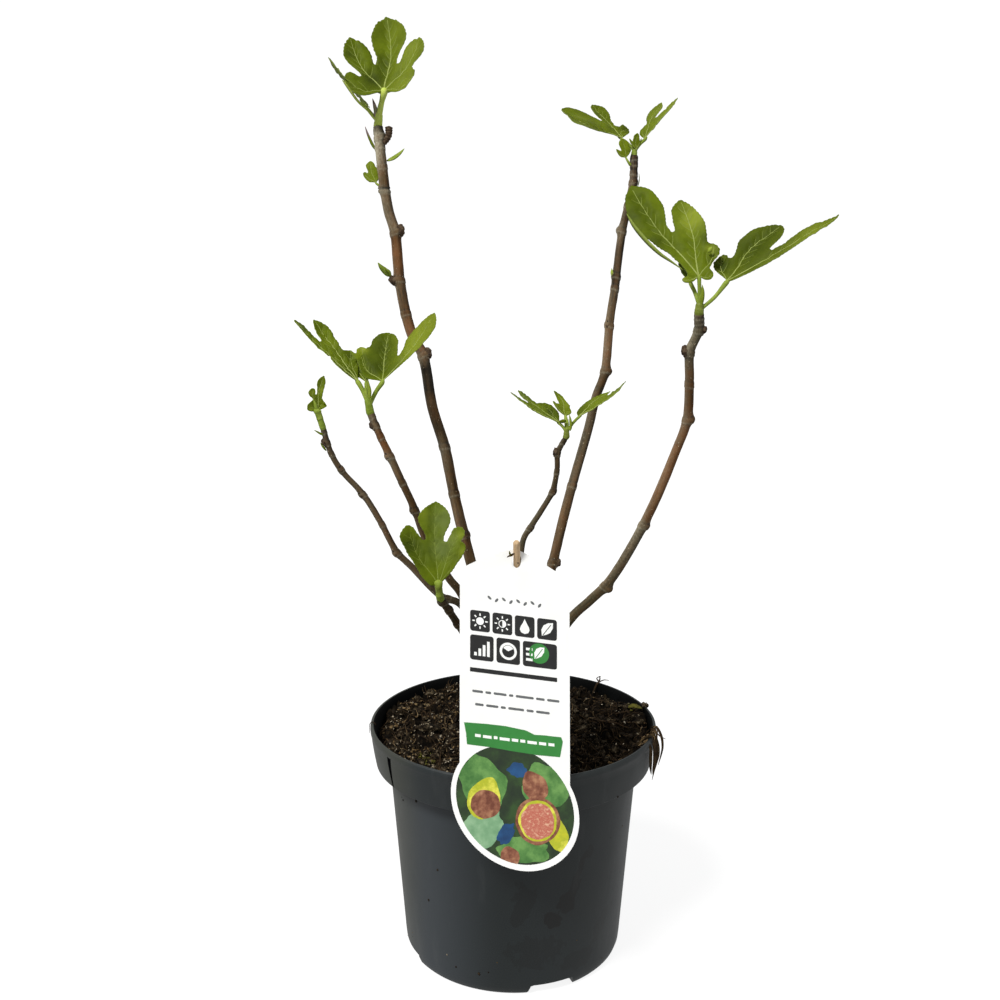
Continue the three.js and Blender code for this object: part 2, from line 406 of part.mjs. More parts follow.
// ---------------------------------------------------------------- label
function makeLabel() {
  const { half, peak, shoulder, slope, bow, disc, hole, t, hang, lean } = LABEL;
  const pts = [];
  // the peaked top, left to right
  for (let i = 0; i <= 12; i++) {
    const x = -half + 2 * half * i / 12;
    pts.push([x, shoulder - slope * x + (peak - shoulder) * (1 - Math.abs(x / half) ** bow)]);
  }
  // down the right edge, round the tilted oval, and up the left edge
  for (let deg = 80; deg > -260; deg -= 7) {
    const q = rad(deg - disc.turn), r = disc.a * disc.b / Math.hypot(disc.b * Math.cos(q), disc.a * Math.sin(q));
    const x = r * Math.cos(rad(deg)), y = r * Math.sin(rad(deg));
    if (y > 0 && Math.abs(x) < half) continue;
    pts.push([x, disc.up + y]);
  }
  pts.reverse();
  const shape = new THREE.Shape(pts.map(([x, y]) => new THREE.Vector2(x, y)));
  const hp = new THREE.Path();
  hp.absellipse(1.5, hole.up, hole.rx, hole.ry, 0, 2 * Math.PI, true);
  shape.holes.push(hp);
  const g = new THREE.ExtrudeGeometry(shape, { depth: t, bevelEnabled: false, curveSegments: 7 });
  const up = new THREE.Vector3(0, Math.sin(lean), Math.cos(lean));
  const out = new THREE.Vector3(0, -Math.cos(lean), Math.sin(lean));
  const basis = new THREE.Matrix4().makeBasis(new THREE.Vector3(1, 0, 0), up, out).setPosition(...hang);
  g.applyMatrix4(basis);
  return solid(g);
}

// ---------------------------------------------------------------- assembly
const paint = {
  pot: { color: 0x3c4144, roughness: 0.5 }, soil: { color: 0x1d1510, roughness: 0.95 }, bark: { color: 0x5a4532, roughness: 0.8 },
  wood: { color: 0xc09a68, roughness: 0.7 }, leaf: { color: 0x6b8426, roughness: 0.55 }, label: { color: 0xf4f4f1, roughness: 0.4 },
};
const group = new THREE.Group();
function put(name, manifold, finish) {
  const material = new THREE.MeshStandardMaterial({ ...paint[finish], metalness: 0 });
  const mesh = new THREE.Mesh(geometryOf(manifold), material);
  mesh.name = name;
  group.add(mesh);
}

put('pot', makePot(), 'pot');
put('soil', makeSoil(), 'soil');
const trunk = makeTrunk();
put('trunk', trunk, 'bark');

// each limb keeps clear of the trunk and of the limbs that left it before
let taken = makeTrunk(GAP);
const limbs = { leader_stub: STUB, ...BOUGHS };
for (const [name, row] of Object.entries(limbs)) {
  const sides = row.r[0] > 4 ? 7 : 6, between = name === 'leader_stub' ? 0 : 1;
  const swell = name === 'leader_stub' ? 1 : 1.13;
  const own = limb(row.nodes, row.r, { sides, between, swell }).subtract(taken);
  put(name, own, name === 'leader_stub' ? 'wood' : 'bark');
  taken = taken.add(limb(row.nodes, row.r, { sides, between, swell, grow: GAP }));
}
for (const [name, row] of Object.entries(MASSES)) {
  const own = mass(row).subtract(taken);
  put(name, own, 'leaf');
  taken = taken.add(mass(row));
}
put('plant_label', makeLabel().subtract(limb(STUB.nodes, STUB.r, { sides: 8, between: 0, swell: 1, grow: GAP })), 'label');

export default group;
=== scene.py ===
"""Looks of a young fig tree in a nursery pot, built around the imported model. Metres in Blender; tables here are in millimetres."""

import math
import random

import bpy
import numpy as np
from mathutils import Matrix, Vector, noise
from mathutils.geometry import delaunay_2d_cdt


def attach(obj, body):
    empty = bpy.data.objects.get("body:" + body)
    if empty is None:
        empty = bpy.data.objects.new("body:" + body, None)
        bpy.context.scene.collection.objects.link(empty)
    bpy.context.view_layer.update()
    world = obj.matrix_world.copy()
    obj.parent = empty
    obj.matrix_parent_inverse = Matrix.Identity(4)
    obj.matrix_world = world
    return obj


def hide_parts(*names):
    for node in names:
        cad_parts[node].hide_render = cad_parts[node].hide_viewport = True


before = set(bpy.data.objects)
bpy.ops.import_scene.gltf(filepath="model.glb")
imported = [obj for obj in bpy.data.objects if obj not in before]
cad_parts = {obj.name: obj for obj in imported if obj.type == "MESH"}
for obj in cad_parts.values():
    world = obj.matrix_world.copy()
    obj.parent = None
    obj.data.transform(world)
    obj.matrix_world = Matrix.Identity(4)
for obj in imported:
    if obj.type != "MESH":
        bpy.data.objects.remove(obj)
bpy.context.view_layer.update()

MM = 0.001
rng = random.Random(7759)

# ------------------------------------------------------------------ camera
CAM = dict(x=-10.15, y=-885.44, z=542.51, pitch=0.200665, lens=42.78, focal=1188.26)
cam_data = bpy.data.cameras.new("view_camera")
cam_data.sensor_width = 36.0
cam_data.sensor_fit = "AUTO"
cam_data.lens = CAM["lens"]
cam_data.clip_start, cam_data.clip_end = 0.05, 60
cam = bpy.data.objects.new("view_camera", cam_data)
bpy.context.scene.collection.objects.link(cam)
cam.location = (CAM["x"] * MM, CAM["y"] * MM, CAM["z"] * MM)
cam.rotation_euler = (math.pi / 2 - CAM["pitch"], 0, 0)
bpy.context.scene.camera = cam


def at(px, py, y):
    """The point, in mm, seen at picture place (px, py) at depth y."""
    c, s = math.cos(CAM["pitch"]), math.sin(CAM["pitch"])
    a, b = (px - 500) / CAM["focal"], (500 - py) / CAM["focal"]
    d = (a, c + b * s, -s + b * c)
    t = (y - CAM["y"]) / d[1]
    return np.array([CAM["x"] + d[0] * t, y, CAM["z"] + d[2] * t])


# ------------------------------------------------------------------ materials
def rgb(hexa):
    v = [int(hexa[i : i + 2], 16) / 255 for i in (0, 2, 4)]
    return tuple((x / 12.92 if x <= 0.04045 else ((x + 0.055) / 1.055) ** 2.4) for x in v) + (1.0,)


def material(name, base, rough=0.5, spec=0.5, second=None, third=None, scale=60.0, detail=4.0, stretch=None, uv=False,
             bump=0.0, bump_scale=400.0, bump_kind="NOISE", bump_depth=0.0004, rough_var=0.0, sheen=0.0, contrast=(0.35, 0.65),
             subsurface=0.0, coat=0.0, seed=0.0):
    m = bpy.data.materials.new(name)
    m.use_nodes = True
    nt = m.node_tree
    bsdf = nt.nodes["Principled BSDF"]
    bsdf.inputs["Roughness"].default_value = rough
    bsdf.inputs["Specular IOR Level"].default_value = spec
    bsdf.inputs["Base Color"].default_value = base
    if sheen:
        bsdf.inputs["Sheen Weight"].default_value = sheen
    if coat:
        bsdf.inputs["Coat Weight"].default_value = coat
        bsdf.inputs["Coat Roughness"].default_value = 0.25
    if subsurface:
        bsdf.inputs["Subsurface Weight"].default_value = subsurface
        bsdf.inputs["Subsurface Scale"].default_value = 0.0012
        bsdf.inputs["Subsurface Radius"].default_value = (0.6, 1.0, 0.3)
    tex = nt.nodes.new("ShaderNodeTexCoord")
    mapping = nt.nodes.new("ShaderNodeMapping")
    nt.links.new(tex.outputs["UV" if uv else "Object"], mapping.inputs["Vector"])
    mapping.inputs["Location"].default_value = (seed, seed * 0.7, seed * 1.3)
    if stretch:
        mapping.inputs["Scale"].default_value = stretch
    n = nt.nodes.new("ShaderNodeTexNoise")
    n.inputs["Scale"].default_value = scale
    n.inputs["Detail"].default_value = detail
    n.inputs["Roughness"].default_value = 0.6
    nt.links.new(mapping.outputs["Vector"], n.inputs["Vector"])
    if second is not None:
        ramp = nt.nodes.new("ShaderNodeValToRGB")
        ramp.color_ramp.elements[0].position, ramp.color_ramp.elements[1].position = contrast
        ramp.color_ramp.elements[0].color, ramp.color_ramp.elements[1].color = base, second
        if third is not None:
            e = ramp.color_ramp.elements.new((contrast[0] + contrast[1]) / 2)
            e.color = third
        nt.links.new(n.outputs["Fac"], ramp.inputs["Fac"])
        nt.links.new(ramp.outputs["Color"], bsdf.inputs["Base Color"])
    if rough_var:
        r = nt.nodes.new("ShaderNodeMapRange")
        r.inputs["To Min"].default_value, r.inputs["To Max"].default_value = rough - rough_var, rough + rough_var
        nt.links.new(n.outputs["Fac"], r.inputs["Value"])
        nt.links.new(r.outputs["Result"], bsdf.inputs["Roughness"])
    if bump:
        if bump_kind == "VORONOI":
            b = nt.nodes.new("ShaderNodeTexVoronoi")
            b.feature = "DISTANCE_TO_EDGE"
            b.inputs["Scale"].default_value = bump_scale
            height = b.outputs["Distance"]
        else:
            b = nt.nodes.new("ShaderNodeTexNoise")
            b.inputs["Scale"].default_value = bump_scale
            b.inputs["Detail"].default_value = 5.0
            height = b.outputs["Fac"]
        nt.links.new(mapping.outputs["Vector"], b.inputs["Vector"])
        bn = nt.nodes.new("ShaderNodeBump")
        bn.inputs["Strength"].default_value = bump
        bn.inputs["Distance"].default_value = bump_depth
        nt.links.new(height, bn.inputs["Height"])
        nt.links.new(bn.outputs["Normal"], bsdf.inputs["Normal"])
    return m


def paint_light_and_shade(m, pale, dark, grey):
    """Painted light and shade: mix a leaf's green towards a paler one for painted highlights, a darker one for painted
    shade and a greyer one for painted sheen, where its blade says so.
    """
    nt = m.node_tree
    bsdf = nt.nodes["Principled BSDF"]
    link = bsdf.inputs["Base Color"].links[0]
    col = link.from_socket
    attr, part = nt.nodes.new("ShaderNodeAttribute"), nt.nodes.new("ShaderNodeSeparateColor")
    attr.attribute_name = "tone"
    nt.links.new(attr.outputs["Color"], part.inputs[0])
    for k, target in ((1, dark), (2, grey), (0, pale)):
        mix = nt.nodes.new("ShaderNodeMix")
        mix.data_type = "RGBA"
        nt.links.new(part.outputs[k], mix.inputs["Factor"])
        a = [q for q in mix.inputs if q.name == "A" and q.type == "RGBA"][0]
        b = [q for q in mix.inputs if q.name == "B" and q.type == "RGBA"][0]
        nt.links.new(col, a)
        b.default_value = rgb(target)
        col = [q for q in mix.outputs if q.type == "RGBA"][0]
    nt.links.new(col, bsdf.inputs["Base Color"])
    return m


LEAF = dict(scale=55.0, detail=5.0, bump=0.2, bump_scale=700.0, bump_kind="VORONOI", bump_depth=0.0002, rough_var=0.06, subsurface=0.06)
MAT = {
    # the last three colours given to each of these greens are its painted highlight, painted shade and painted sheen
    "leaf_deep": paint_light_and_shade(material("leaf_deep", rgb("4e5b07"), 0.58, 0.07, rgb("5f6d0f"), rgb("56620b"), **LEAF), "7f8b26", "344005", "5e6c3a"),
    "leaf_mid": paint_light_and_shade(material("leaf_mid", rgb("4e5c06"), 0.57, 0.08, rgb("61700d"), rgb("576509"), **LEAF), "7f8b26", "2c3703", "5e6c3a"),
    "leaf_light": paint_light_and_shade(material("leaf_light", rgb("5a6807"), 0.54, 0.1, rgb("717f13"), rgb("65740d"), **LEAF), "84902a", "3d4b06", "5e6c3a"),
    "leaf_pale": material("leaf_pale", rgb("7a8a24"), 0.54, 0.12, rgb("90a038"), rgb("85952d"), **LEAF),
    "leaf_under": material("leaf_under", rgb("768436"), 0.65, 0.1, rgb("899746"), rgb("7f8d3e"), **dict(LEAF, bump=0.3)),
    "vein": material("vein", rgb("8b9748"), 0.55, 0.2, rgb("9ba659"), scale=120.0, bump=0.1, bump_scale=1500.0),
    "vein_dim": material("vein_dim", rgb("6f7b2c"), 0.55, 0.2, rgb("7f8b3b"), scale=120.0, bump=0.1, bump_scale=1500.0),
    "stalk": material("stalk", rgb("788a2c"), 0.52, 0.12, rgb("98a848"), rgb("87993a"), scale=90.0, stretch=(1, 1, 0.4), bump=0.25, bump_scale=900.0, subsurface=0.15),
    "stalk_lit": material("stalk_lit", rgb("b2c44c"), 0.5, 0.12, rgb("cfdc74"), rgb("c0d060"), scale=90.0, stretch=(1, 1, 0.4), bump=0.25, bump_scale=900.0, subsurface=0.15),
    "shoot_dark": material("shoot_dark", rgb("5f6a20"), 0.5, 0.2, rgb("808a3c"), rgb("6f7a2c"), scale=150.0, bump=0.35, bump_scale=900.0),
    "shoot": material("shoot", rgb("6c7f25"), 0.52, 0.12, rgb("8fa044"), rgb("7d9034"), scale=150.0, bump=0.35, bump_scale=900.0),
    "stipule": material("stipule", rgb("8f7874"), 0.55, 0.2, rgb("8d9464"), rgb("a38a84"), scale=160.0, bump=0.2, bump_scale=1200.0),
    "bud": material("bud", rgb("1b130e"), 0.7, 0.25, rgb("42322a"), rgb("33261e"), scale=350.0, bump=0.8, bump_scale=900.0, bump_depth=0.0005),
    "knob": material("knob", rgb("33261b"), 0.8, 0.15, rgb("655543"), rgb("493a2b"), scale=420.0, detail=6.0, bump=0.9, bump_scale=700.0, bump_depth=0.0006),
    "scar": material("scar", rgb("74695a"), 0.85, 0.15, rgb("938773"), rgb("574b3d"), scale=420.0, bump=0.7, bump_scale=900.0, bump_depth=0.0004),
    "lenticel": material("lenticel", rgb("9a8a70"), 0.75, 0.2, rgb("b0a086"), scale=300.0, bump=0.3, bump_scale=1800.0),
    "dry_wood": material("dry_wood", rgb("c4a27a"), 0.75, 0.2, rgb("dcc19c"), rgb("d0b18a"), scale=1.0, detail=6.0, stretch=(9.0, 40.0, 1.0), uv=True,
                         bump=0.6, bump_scale=6.0, bump_depth=0.0004, contrast=(0.3, 0.7)),
    "label_card": material("label_card", rgb("f6f6f3"), 0.38, 0.45, rgb("fbfbf9"), scale=25.0, bump=0.04, bump_scale=1200.0, bump_depth=0.0001),
    "ink_black": material("ink_black", rgb("161616"), 0.36, 0.45, rgb("1c1c1c"), scale=200.0, bump=0.03, bump_scale=1200.0, bump_depth=0.0001),
    "ink_grey": material("ink_grey", rgb("5d5f60"), 0.38, 0.45, rgb("686a6b"), scale=200.0, bump=0.03, bump_scale=1200.0, bump_depth=0.0001),
    "ink_green": material("ink_green", rgb("2f7a34"), 0.36, 0.45, rgb("35843a"), scale=60.0, bump=0.03, bump_scale=1200.0, bump_depth=0.0001),
    "ink_white": material("ink_white", rgb("f4f6f1"), 0.36, 0.45, rgb("fafbf8"), scale=60.0, bump=0.03, bump_scale=1200.0, bump_depth=0.0001),
    "pic_dark": material("pic_dark", rgb("1c2a1a"), 0.34, 0.45, rgb("2f4a22"), rgb("24361d"), scale=70.0, bump=0.03, bump_scale=1200.0, bump_depth=0.0001),
    "pic_leaf": material("pic_leaf", rgb("3f6f33"), 0.34, 0.45, rgb("6d9b52"), rgb("568543"), scale=110.0, bump=0.03, bump_scale=1200.0, bump_depth=0.0001),
    "pic_leaf_b": material("pic_leaf_b", rgb("6f9a72"), 0.34, 0.45, rgb("8fb58d"), rgb("7da77e"), scale=110.0, bump=0.03, bump_scale=1200.0, bump_depth=0.0001),
    "pic_skin": material("pic_skin", rgb("6b3b2a"), 0.34, 0.45, rgb("b07f5e"), rgb("8d5a43"), scale=190.0, detail=7.0, bump=0.03, bump_scale=1200.0, bump_depth=0.0001),
    "pic_flesh": material("pic_flesh", rgb("c9866f"), 0.34, 0.45, rgb("e0b193"), rgb("b8614f"), scale=420.0, detail=7.0, bump=0.03, bump_scale=1200.0, bump_depth=0.0001),
    "pic_yellow": material("pic_yellow", rgb("c7c52a"), 0.34, 0.45, rgb("e3df55"), rgb("aeb52c"), scale=90.0, bump=0.03, bump_scale=1200.0, bump_depth=0.0001),
    "pic_blue": material("pic_blue", rgb("163a63"), 0.34, 0.45, rgb("21507f"), scale=90.0, bump=0.03, bump_scale=1200.0, bump_depth=0.0001),
    "peat": material("peat", rgb("080604"), 0.97, 0.06, rgb("2a2216"), rgb("110d09"), scale=260.0, detail=8.0, bump=1.0, bump_scale=700.0, bump_depth=0.0012),
    "crumb": material("crumb", rgb("7a6e5c"), 0.9, 0.15, rgb("bdb4a2"), rgb("8f836e"), scale=500.0, bump=0.7, bump_scale=1500.0),
    "clump": material("clump", rgb("100d09"), 0.95, 0.1, rgb("6e6350"), rgb("30271a"), scale=300.0, contrast=(0.4, 0.66), detail=7.0, bump=1.0, bump_scale=800.0, bump_depth=0.0012),
    "chip_dark": material("chip_dark", rgb("19140e"), 0.9, 0.15, rgb("352a1d"), rgb("241c13"), scale=400.0, bump=0.7, bump_scale=1200.0),
    "chip_brown": material("chip_brown", rgb("46371f"), 0.9, 0.15, rgb("8c7856"), rgb("5f4c32"), scale=400.0, bump=0.6, bump_scale=1200.0),
    "fibre": material("fibre", rgb("66543c"), 0.9, 0.1, rgb("968263"), rgb("7a6649"), scale=300.0, bump=0.3, bump_scale=1500.0),
    "fibre_dark": material("fibre_dark", rgb("2a2016"), 0.9, 0.1, rgb("4a3b29"), rgb("372a1c"), scale=300.0, bump=0.3, bump_scale=1500.0),
    "moss": material("moss", rgb("4c4a1c"), 0.9, 0.2, rgb("6f6b2c"), rgb("5a5622"), scale=500.0, bump=0.6, bump_scale=1500.0),
    "dry_leaf": material("dry_leaf", rgb("271e12"), 0.9, 0.08, rgb("4a3c26"), rgb("352918"), scale=200.0, bump=0.5, bump_scale=900.0),
}


def bark_material():
    """Young bark. The piece's own tone says how warm, pale or dark each place is, painted light on the left side and
    painted shade on the right included; streaks, mottling and specks come on top.
    """
    m = bpy.data.materials.new("bark")
    m.use_nodes = True
    nt = m.node_tree
    new, link = nt.nodes.new, nt.links.new
    bsdf = nt.nodes["Principled BSDF"]
    bsdf.inputs["Specular IOR Level"].default_value = 0.1
    tone = new("ShaderNodeAttribute")
    tone.attribute_name = "tone"
    part = new("ShaderNodeSeparateColor")
    link(tone.outputs["Color"], part.inputs[0])
    tc = new("ShaderNodeTexCoord")

    def noise_at(coord, scale, stretch, detail=4.0, rough=0.6):
        mp, n = new("ShaderNodeMapping"), new("ShaderNodeTexNoise")
        mp.inputs["Scale"].default_value = stretch
        link(tc.outputs[coord], mp.inputs["Vector"])
        n.inputs["Scale"].default_value, n.inputs["Detail"].default_value, n.inputs["Roughness"].default_value = scale, detail, rough
        link(mp.outputs["Vector"], n.inputs["Vector"])
        return n.outputs["Fac"]

    def fit(v, lo, hi, a=0.0, b=1.0):
        n = new("ShaderNodeMapRange")
        for k, x in (("From Min", lo), ("From Max", hi), ("To Min", a), ("To Max", b)):
            n.inputs[k].default_value = x
        link(v, n.inputs["Value"])
        return n.outputs[0]

    def sums(op, a, b):
        n = new("ShaderNodeMath")
        n.operation, n.use_clamp = op, True
        for i, x in enumerate((a, b)):
            if isinstance(x, (int, float)):
                n.inputs[i].default_value = x
            else:
                link(x, n.inputs[i])
        return n.outputs[0]

    def blend(fac, a, b):
        n = new("ShaderNodeMix")
        n.data_type = "RGBA"
        link(fac, n.inputs["Factor"])
        for name, x in (("A", a), ("B", b)):
            sock = [q for q in n.inputs if q.name == name and q.type == "RGBA"][0]
            if isinstance(x, tuple):
                sock.default_value = x
            else:
                link(x, sock)
        return [q for q in n.outputs if q.type == "RGBA"][0]

    streak = noise_at("UV", 1.0, (6.0, 38.0, 1.0), 6.0, 0.65)
    mottle = noise_at("Object", 170.0, (1, 1, 1), 5.0)
    fine = noise_at("Object", 900.0, (1, 1, 0.5), 4.0)
    warm = sums("ADD", part.outputs[0], fit(mottle, 0.3, 0.7, -0.22, 0.22))
    col = blend(warm, rgb("40381f"), rgb("784922"))
    col = blend(sums("MULTIPLY", fit(streak, 0.52, 0.68), 0.4), col, rgb("75643f"))
    dark = sums("ADD", sums("MULTIPLY", fit(streak, 0.5, 0.32), 0.6), part.outputs[2])
    col = blend(dark, col, rgb("130e07"))
    pale = sums("MULTIPLY", part.outputs[1], fit(fine, 0.3, 0.6, 0.35, 1.0))
    pale = sums("ADD", pale, sums("MULTIPLY", fit(fine, 0.66, 0.74), 0.2))
    col = blend(pale, col, rgb("b5ad95"))
    link(col, bsdf.inputs["Base Color"])
    link(fit(mottle, 0.3, 0.7, 0.5, 0.7), bsdf.inputs["Roughness"])
    bump = new("ShaderNodeBump")
    bump.inputs["Strength"].default_value, bump.inputs["Distance"].default_value = 0.6, 0.0004
    link(sums("ADD", sums("MULTIPLY", streak, 0.6), sums("MULTIPLY", fine, 0.4)), bump.inputs["Height"])
    link(bump.outputs["Normal"], bsdf.inputs["Normal"])
    return m


MAT["bark"] = bark_material()


# ------------------------------------------------------------------ mesh kit
class Mesh:
    """Gathers closed shells in mm, each with one material, into one object."""

    def __init__(self):
        self.v, self.f, self.m, self.uv, self.tone, self.n = [], [], [], [], [], 0
        self.mats = []

    def add(self, verts, faces, mat, uv=None, tone=None):
        if mat not in self.mats:
            self.mats.append(mat)
        k = self.mats.index(mat)
        self.v.append(np.asarray(verts, float))
        self.f.extend([tuple(int(i) + self.n for i in f) for f in faces])
        self.m.extend([k] * len(faces))
        self.uv.append(np.zeros((len(verts), 2)) if uv is None else np.asarray(uv, float))
        self.tone.append(np.zeros((len(verts), 3)) if tone is None else np.asarray(tone, float))
        self.n += len(verts)

    def build(self, name, slot, nodes=(), smooth=True, sharp=None):
        co = np.vstack(self.v) * MM
        me = bpy.data.meshes.new(name)
        me.from_pydata(co.tolist(), [], self.f)
        for k in self.mats:
            me.materials.append(MAT[k])
        me.polygons.foreach_set("material_index", np.array(self.m, np.int32))
        uvs = np.vstack(self.uv)
        layer = me.uv_layers.new(name="UVMap")
        loops = np.zeros(len(me.loops), np.int32)
        me.loops.foreach_get("vertex_index", loops)
        layer.data.foreach_set("uv", uvs[loops].astype(np.float32).ravel())
        t = np.clip(np.vstack(self.tone), 0, 1)
        if t.max() > 0:
            me.attributes.new("tone", "FLOAT_COLOR", "POINT").data.foreach_set("color", np.c_[t, np.ones(len(t))].astype(np.float32).ravel())
        me.polygons.foreach_set("use_smooth", np.ones(len(me.polygons), bool) if smooth else np.zeros(len(me.polygons), bool))
        me.update()
        if smooth and sharp:
            me.set_sharp_from_angle(angle=math.radians(sharp))
        o = bpy.data.objects.new(name, me)
        bpy.context.scene.collection.objects.link(o)
        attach(o, "root")
        if nodes:
            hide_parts(*nodes)
        return o


def unit(v):
    v = np.asarray(v, float)
    return v / max(np.linalg.norm(v), 1e-12)


def smooth_path(points, step):
    """A centripetal Catmull-Rom line through the points, at even steps."""
    P = np.asarray(points, float)
    n, out = len(P), []
    for i in range(n - 1):
        p0 = P[i - 1] if i else 2 * P[0] - P[1]
        p1, p2 = P[i], P[i + 1]
        p3 = P[i + 2] if i + 2 < n else 2 * P[-1] - P[-2]
        t0 = 0.0
        t1 = t0 + max(np.linalg.norm(p1 - p0), 1e-6) ** 0.5
        t2 = t1 + max(np.linalg.norm(p2 - p1), 1e-6) ** 0.5
        t3 = t2 + max(np.linalg.norm(p3 - p2), 1e-6) ** 0.5
        for t in np.linspace(t1, t2, 24, endpoint=False):
            a1 = (t1 - t) / (t1 - t0) * p0 + (t - t0) / (t1 - t0) * p1
            a2 = (t2 - t) / (t2 - t1) * p1 + (t - t1) / (t2 - t1) * p2
            a3 = (t3 - t) / (t3 - t2) * p2 + (t - t2) / (t3 - t2) * p3
            b1 = (t2 - t) / (t2 - t0) * a1 + (t - t0) / (t2 - t0) * a2
            b2 = (t3 - t) / (t3 - t1) * a2 + (t - t1) / (t3 - t1) * a3
            out.append((t2 - t) / (t2 - t1) * b1 + (t - t1) / (t2 - t1) * b2)
    out.append(P[-1])
    out = np.array(out)
    s = np.r_[0, np.cumsum(np.linalg.norm(np.diff(out, axis=0), axis=1))]
    k = max(2, int(round(s[-1] / step)) + 1)
    ss = np.linspace(0, s[-1], k)
    return np.stack([np.interp(ss, s, out[:, i]) for i in range(3)], 1), ss


def frames(P):
    T = np.gradient(P, axis=0)
    T /= np.linalg.norm(T, axis=1)[:, None]
    first = np.array([0, -1.0, 0]) if abs(T[0][1]) < 0.9 else np.array([1.0, 0, 0])
    N = np.zeros_like(T)
    n = unit(first - T[0] * (T[0] @ first))
    for i in range(len(P)):
        n = unit(n - T[i] * (T[i] @ n))
        N[i] = n
    return T, N, np.cross(T, N)


def tube(mesh, P, radius, mat, sides=10, flat=None, round_ends=True, tone=None):
    """A closed tube. radius is a list, or an array of rings by sides. flat is (axis, share): squeezed along that axis."""
    P = np.asarray(P, float)
    T, N, B = frames(P)
    n = len(P)
    R = np.asarray(radius, float)
    if R.ndim == 0:
        R = np.full(n, float(R))
    if R.ndim == 1:
        R = np.repeat(R[:, None], sides, 1)
    a = np.arange(sides) * 2 * math.pi / sides
    ring = (np.cos(a)[None, :, None] * N[:, None, :] + np.sin(a)[None, :, None] * B[:, None, :]) * R[:, :, None]
    if flat is not None:
        axis, share = unit(flat[0]), flat[1]
        ring = ring - (ring @ axis)[..., None] * axis * (1 - share)
    V = (P[:, None, :] + ring).reshape(-1, 3)
    s = np.r_[0, np.cumsum(np.linalg.norm(np.diff(P, axis=0), axis=1))]
    UV = np.stack([np.tile(np.minimum(a, 2 * math.pi - a) / math.pi, (n, 1)), np.repeat(s[:, None] * MM, sides, 1)], -1).reshape(-1, 2)
    F = []
    for i in range(n - 1):
        for k in range(sides):
            j = (k + 1) % sides
            F.append((i * sides + k, i * sides + j, (i + 1) * sides + j, (i + 1) * sides + k))
    bulge = 0.45 if round_ends else 0.0
    c0, c1 = P[0] - T[0] * R[0].mean() * bulge, P[-1] + T[-1] * R[-1].mean() * bulge
    V = np.vstack([V, c0, c1])
    if tone is not None:
        tone = np.vstack([tone.reshape(-1, 3), tone[0].mean(0), tone[-1].mean(0)])
    UV = np.vstack([UV, [0.5, 0], [0.5, s[-1] * MM]])
    i0, i1, last = len(V) - 2, len(V) - 1, (n - 1) * sides
    for k in range(sides):
        j = (k + 1) % sides
        F.append((i0, j, k))
        F.append((i1, last + k, last + j))
    mesh.add(V, F, mat, UV, tone)
    return T, N, B


def lump(mesh, centre, axes, mat, rings=6, sides=9, seed=0, rough=0.12, point=0.0):
    """A closed, slightly uneven ovoid. axes are three vectors whose lengths are its half sizes; point > 0 sharpens the end along the first."""
    c = np.asarray(centre, float)
    A = [np.asarray(x, float) for x in axes]
    V, F = [], []
    for i in range(1, rings):
        th = math.pi * i / rings
        for k in range(sides):
            ph = 2 * math.pi * k / sides
            d = np.array([math.cos(th), math.sin(th) * math.cos(ph), math.sin(th) * math.sin(ph)])
            w = 1 + rough * noise.noise(Vector((d[0] * 2 + seed * 3.3, d[1] * 2 + seed, d[2] * 2)))
            thin = (1 - point * max(0.0, d[0]))
            V.append(c + (A[0] * d[0] + (A[1] * d[1] + A[2] * d[2]) * thin) * w)
    V.append(c + A[0])
    V.append(c - A[0])
    top, bottom = len(V) - 2, len(V) - 1
    for i in range(rings - 2):
        for k in range(sides):
            j = (k + 1) % sides
            F.append((i * sides + k, (i + 1) * sides + k, (i + 1) * sides + j, i * sides + j))
    last = (rings - 2) * sides
    for k in range(sides):
        j = (k + 1) % sides
        F.append((top, k, j))
        F.append((bottom, last + j, last + k))
    if np.linalg.det(np.array(A)) < 0:
        F = [f[::-1] for f in F]
    mesh.add(V, F, mat)


def sliver(mesh, points, width, mat, face=(0, -1, 0), thick=0.35):
    """A narrow pointed blade along a line, flat towards face."""
    P, s = smooth_path(points, 0.8)
    t = s / s[-1]
    w = width / 2 * np.sin(math.pi * np.clip(t, 0.0, 1.0) ** 0.75) ** 0.8 + 0.12
    T, N, B = frames(P)
    f = np.asarray(face, float)
    V, F = [], []
    for i in range(len(P)):
        nf = unit(f - T[i] * (f @ T[i]))
        side = np.cross(T[i], nf)
        V += [P[i] + side * w[i] + nf * 0.18 * w[i], P[i] + nf * (thick / 2 - 0.12 * w[i]), P[i] - side * w[i] + nf * 0.18 * w[i], P[i] - nf * (thick / 2 + 0.1 * w[i])]
    for i in range(len(P) - 1):
        for k in range(4):
            j = (k + 1) % 4
            F.append((4 * i + k, 4 * i + j, 4 * i + 4 + j, 4 * i + 4 + k))
    e = 4 * (len(P) - 1)
    F += [(3, 2, 1, 0), (e, e + 1, e + 2, e + 3)]
    mesh.add(V, F, mat)


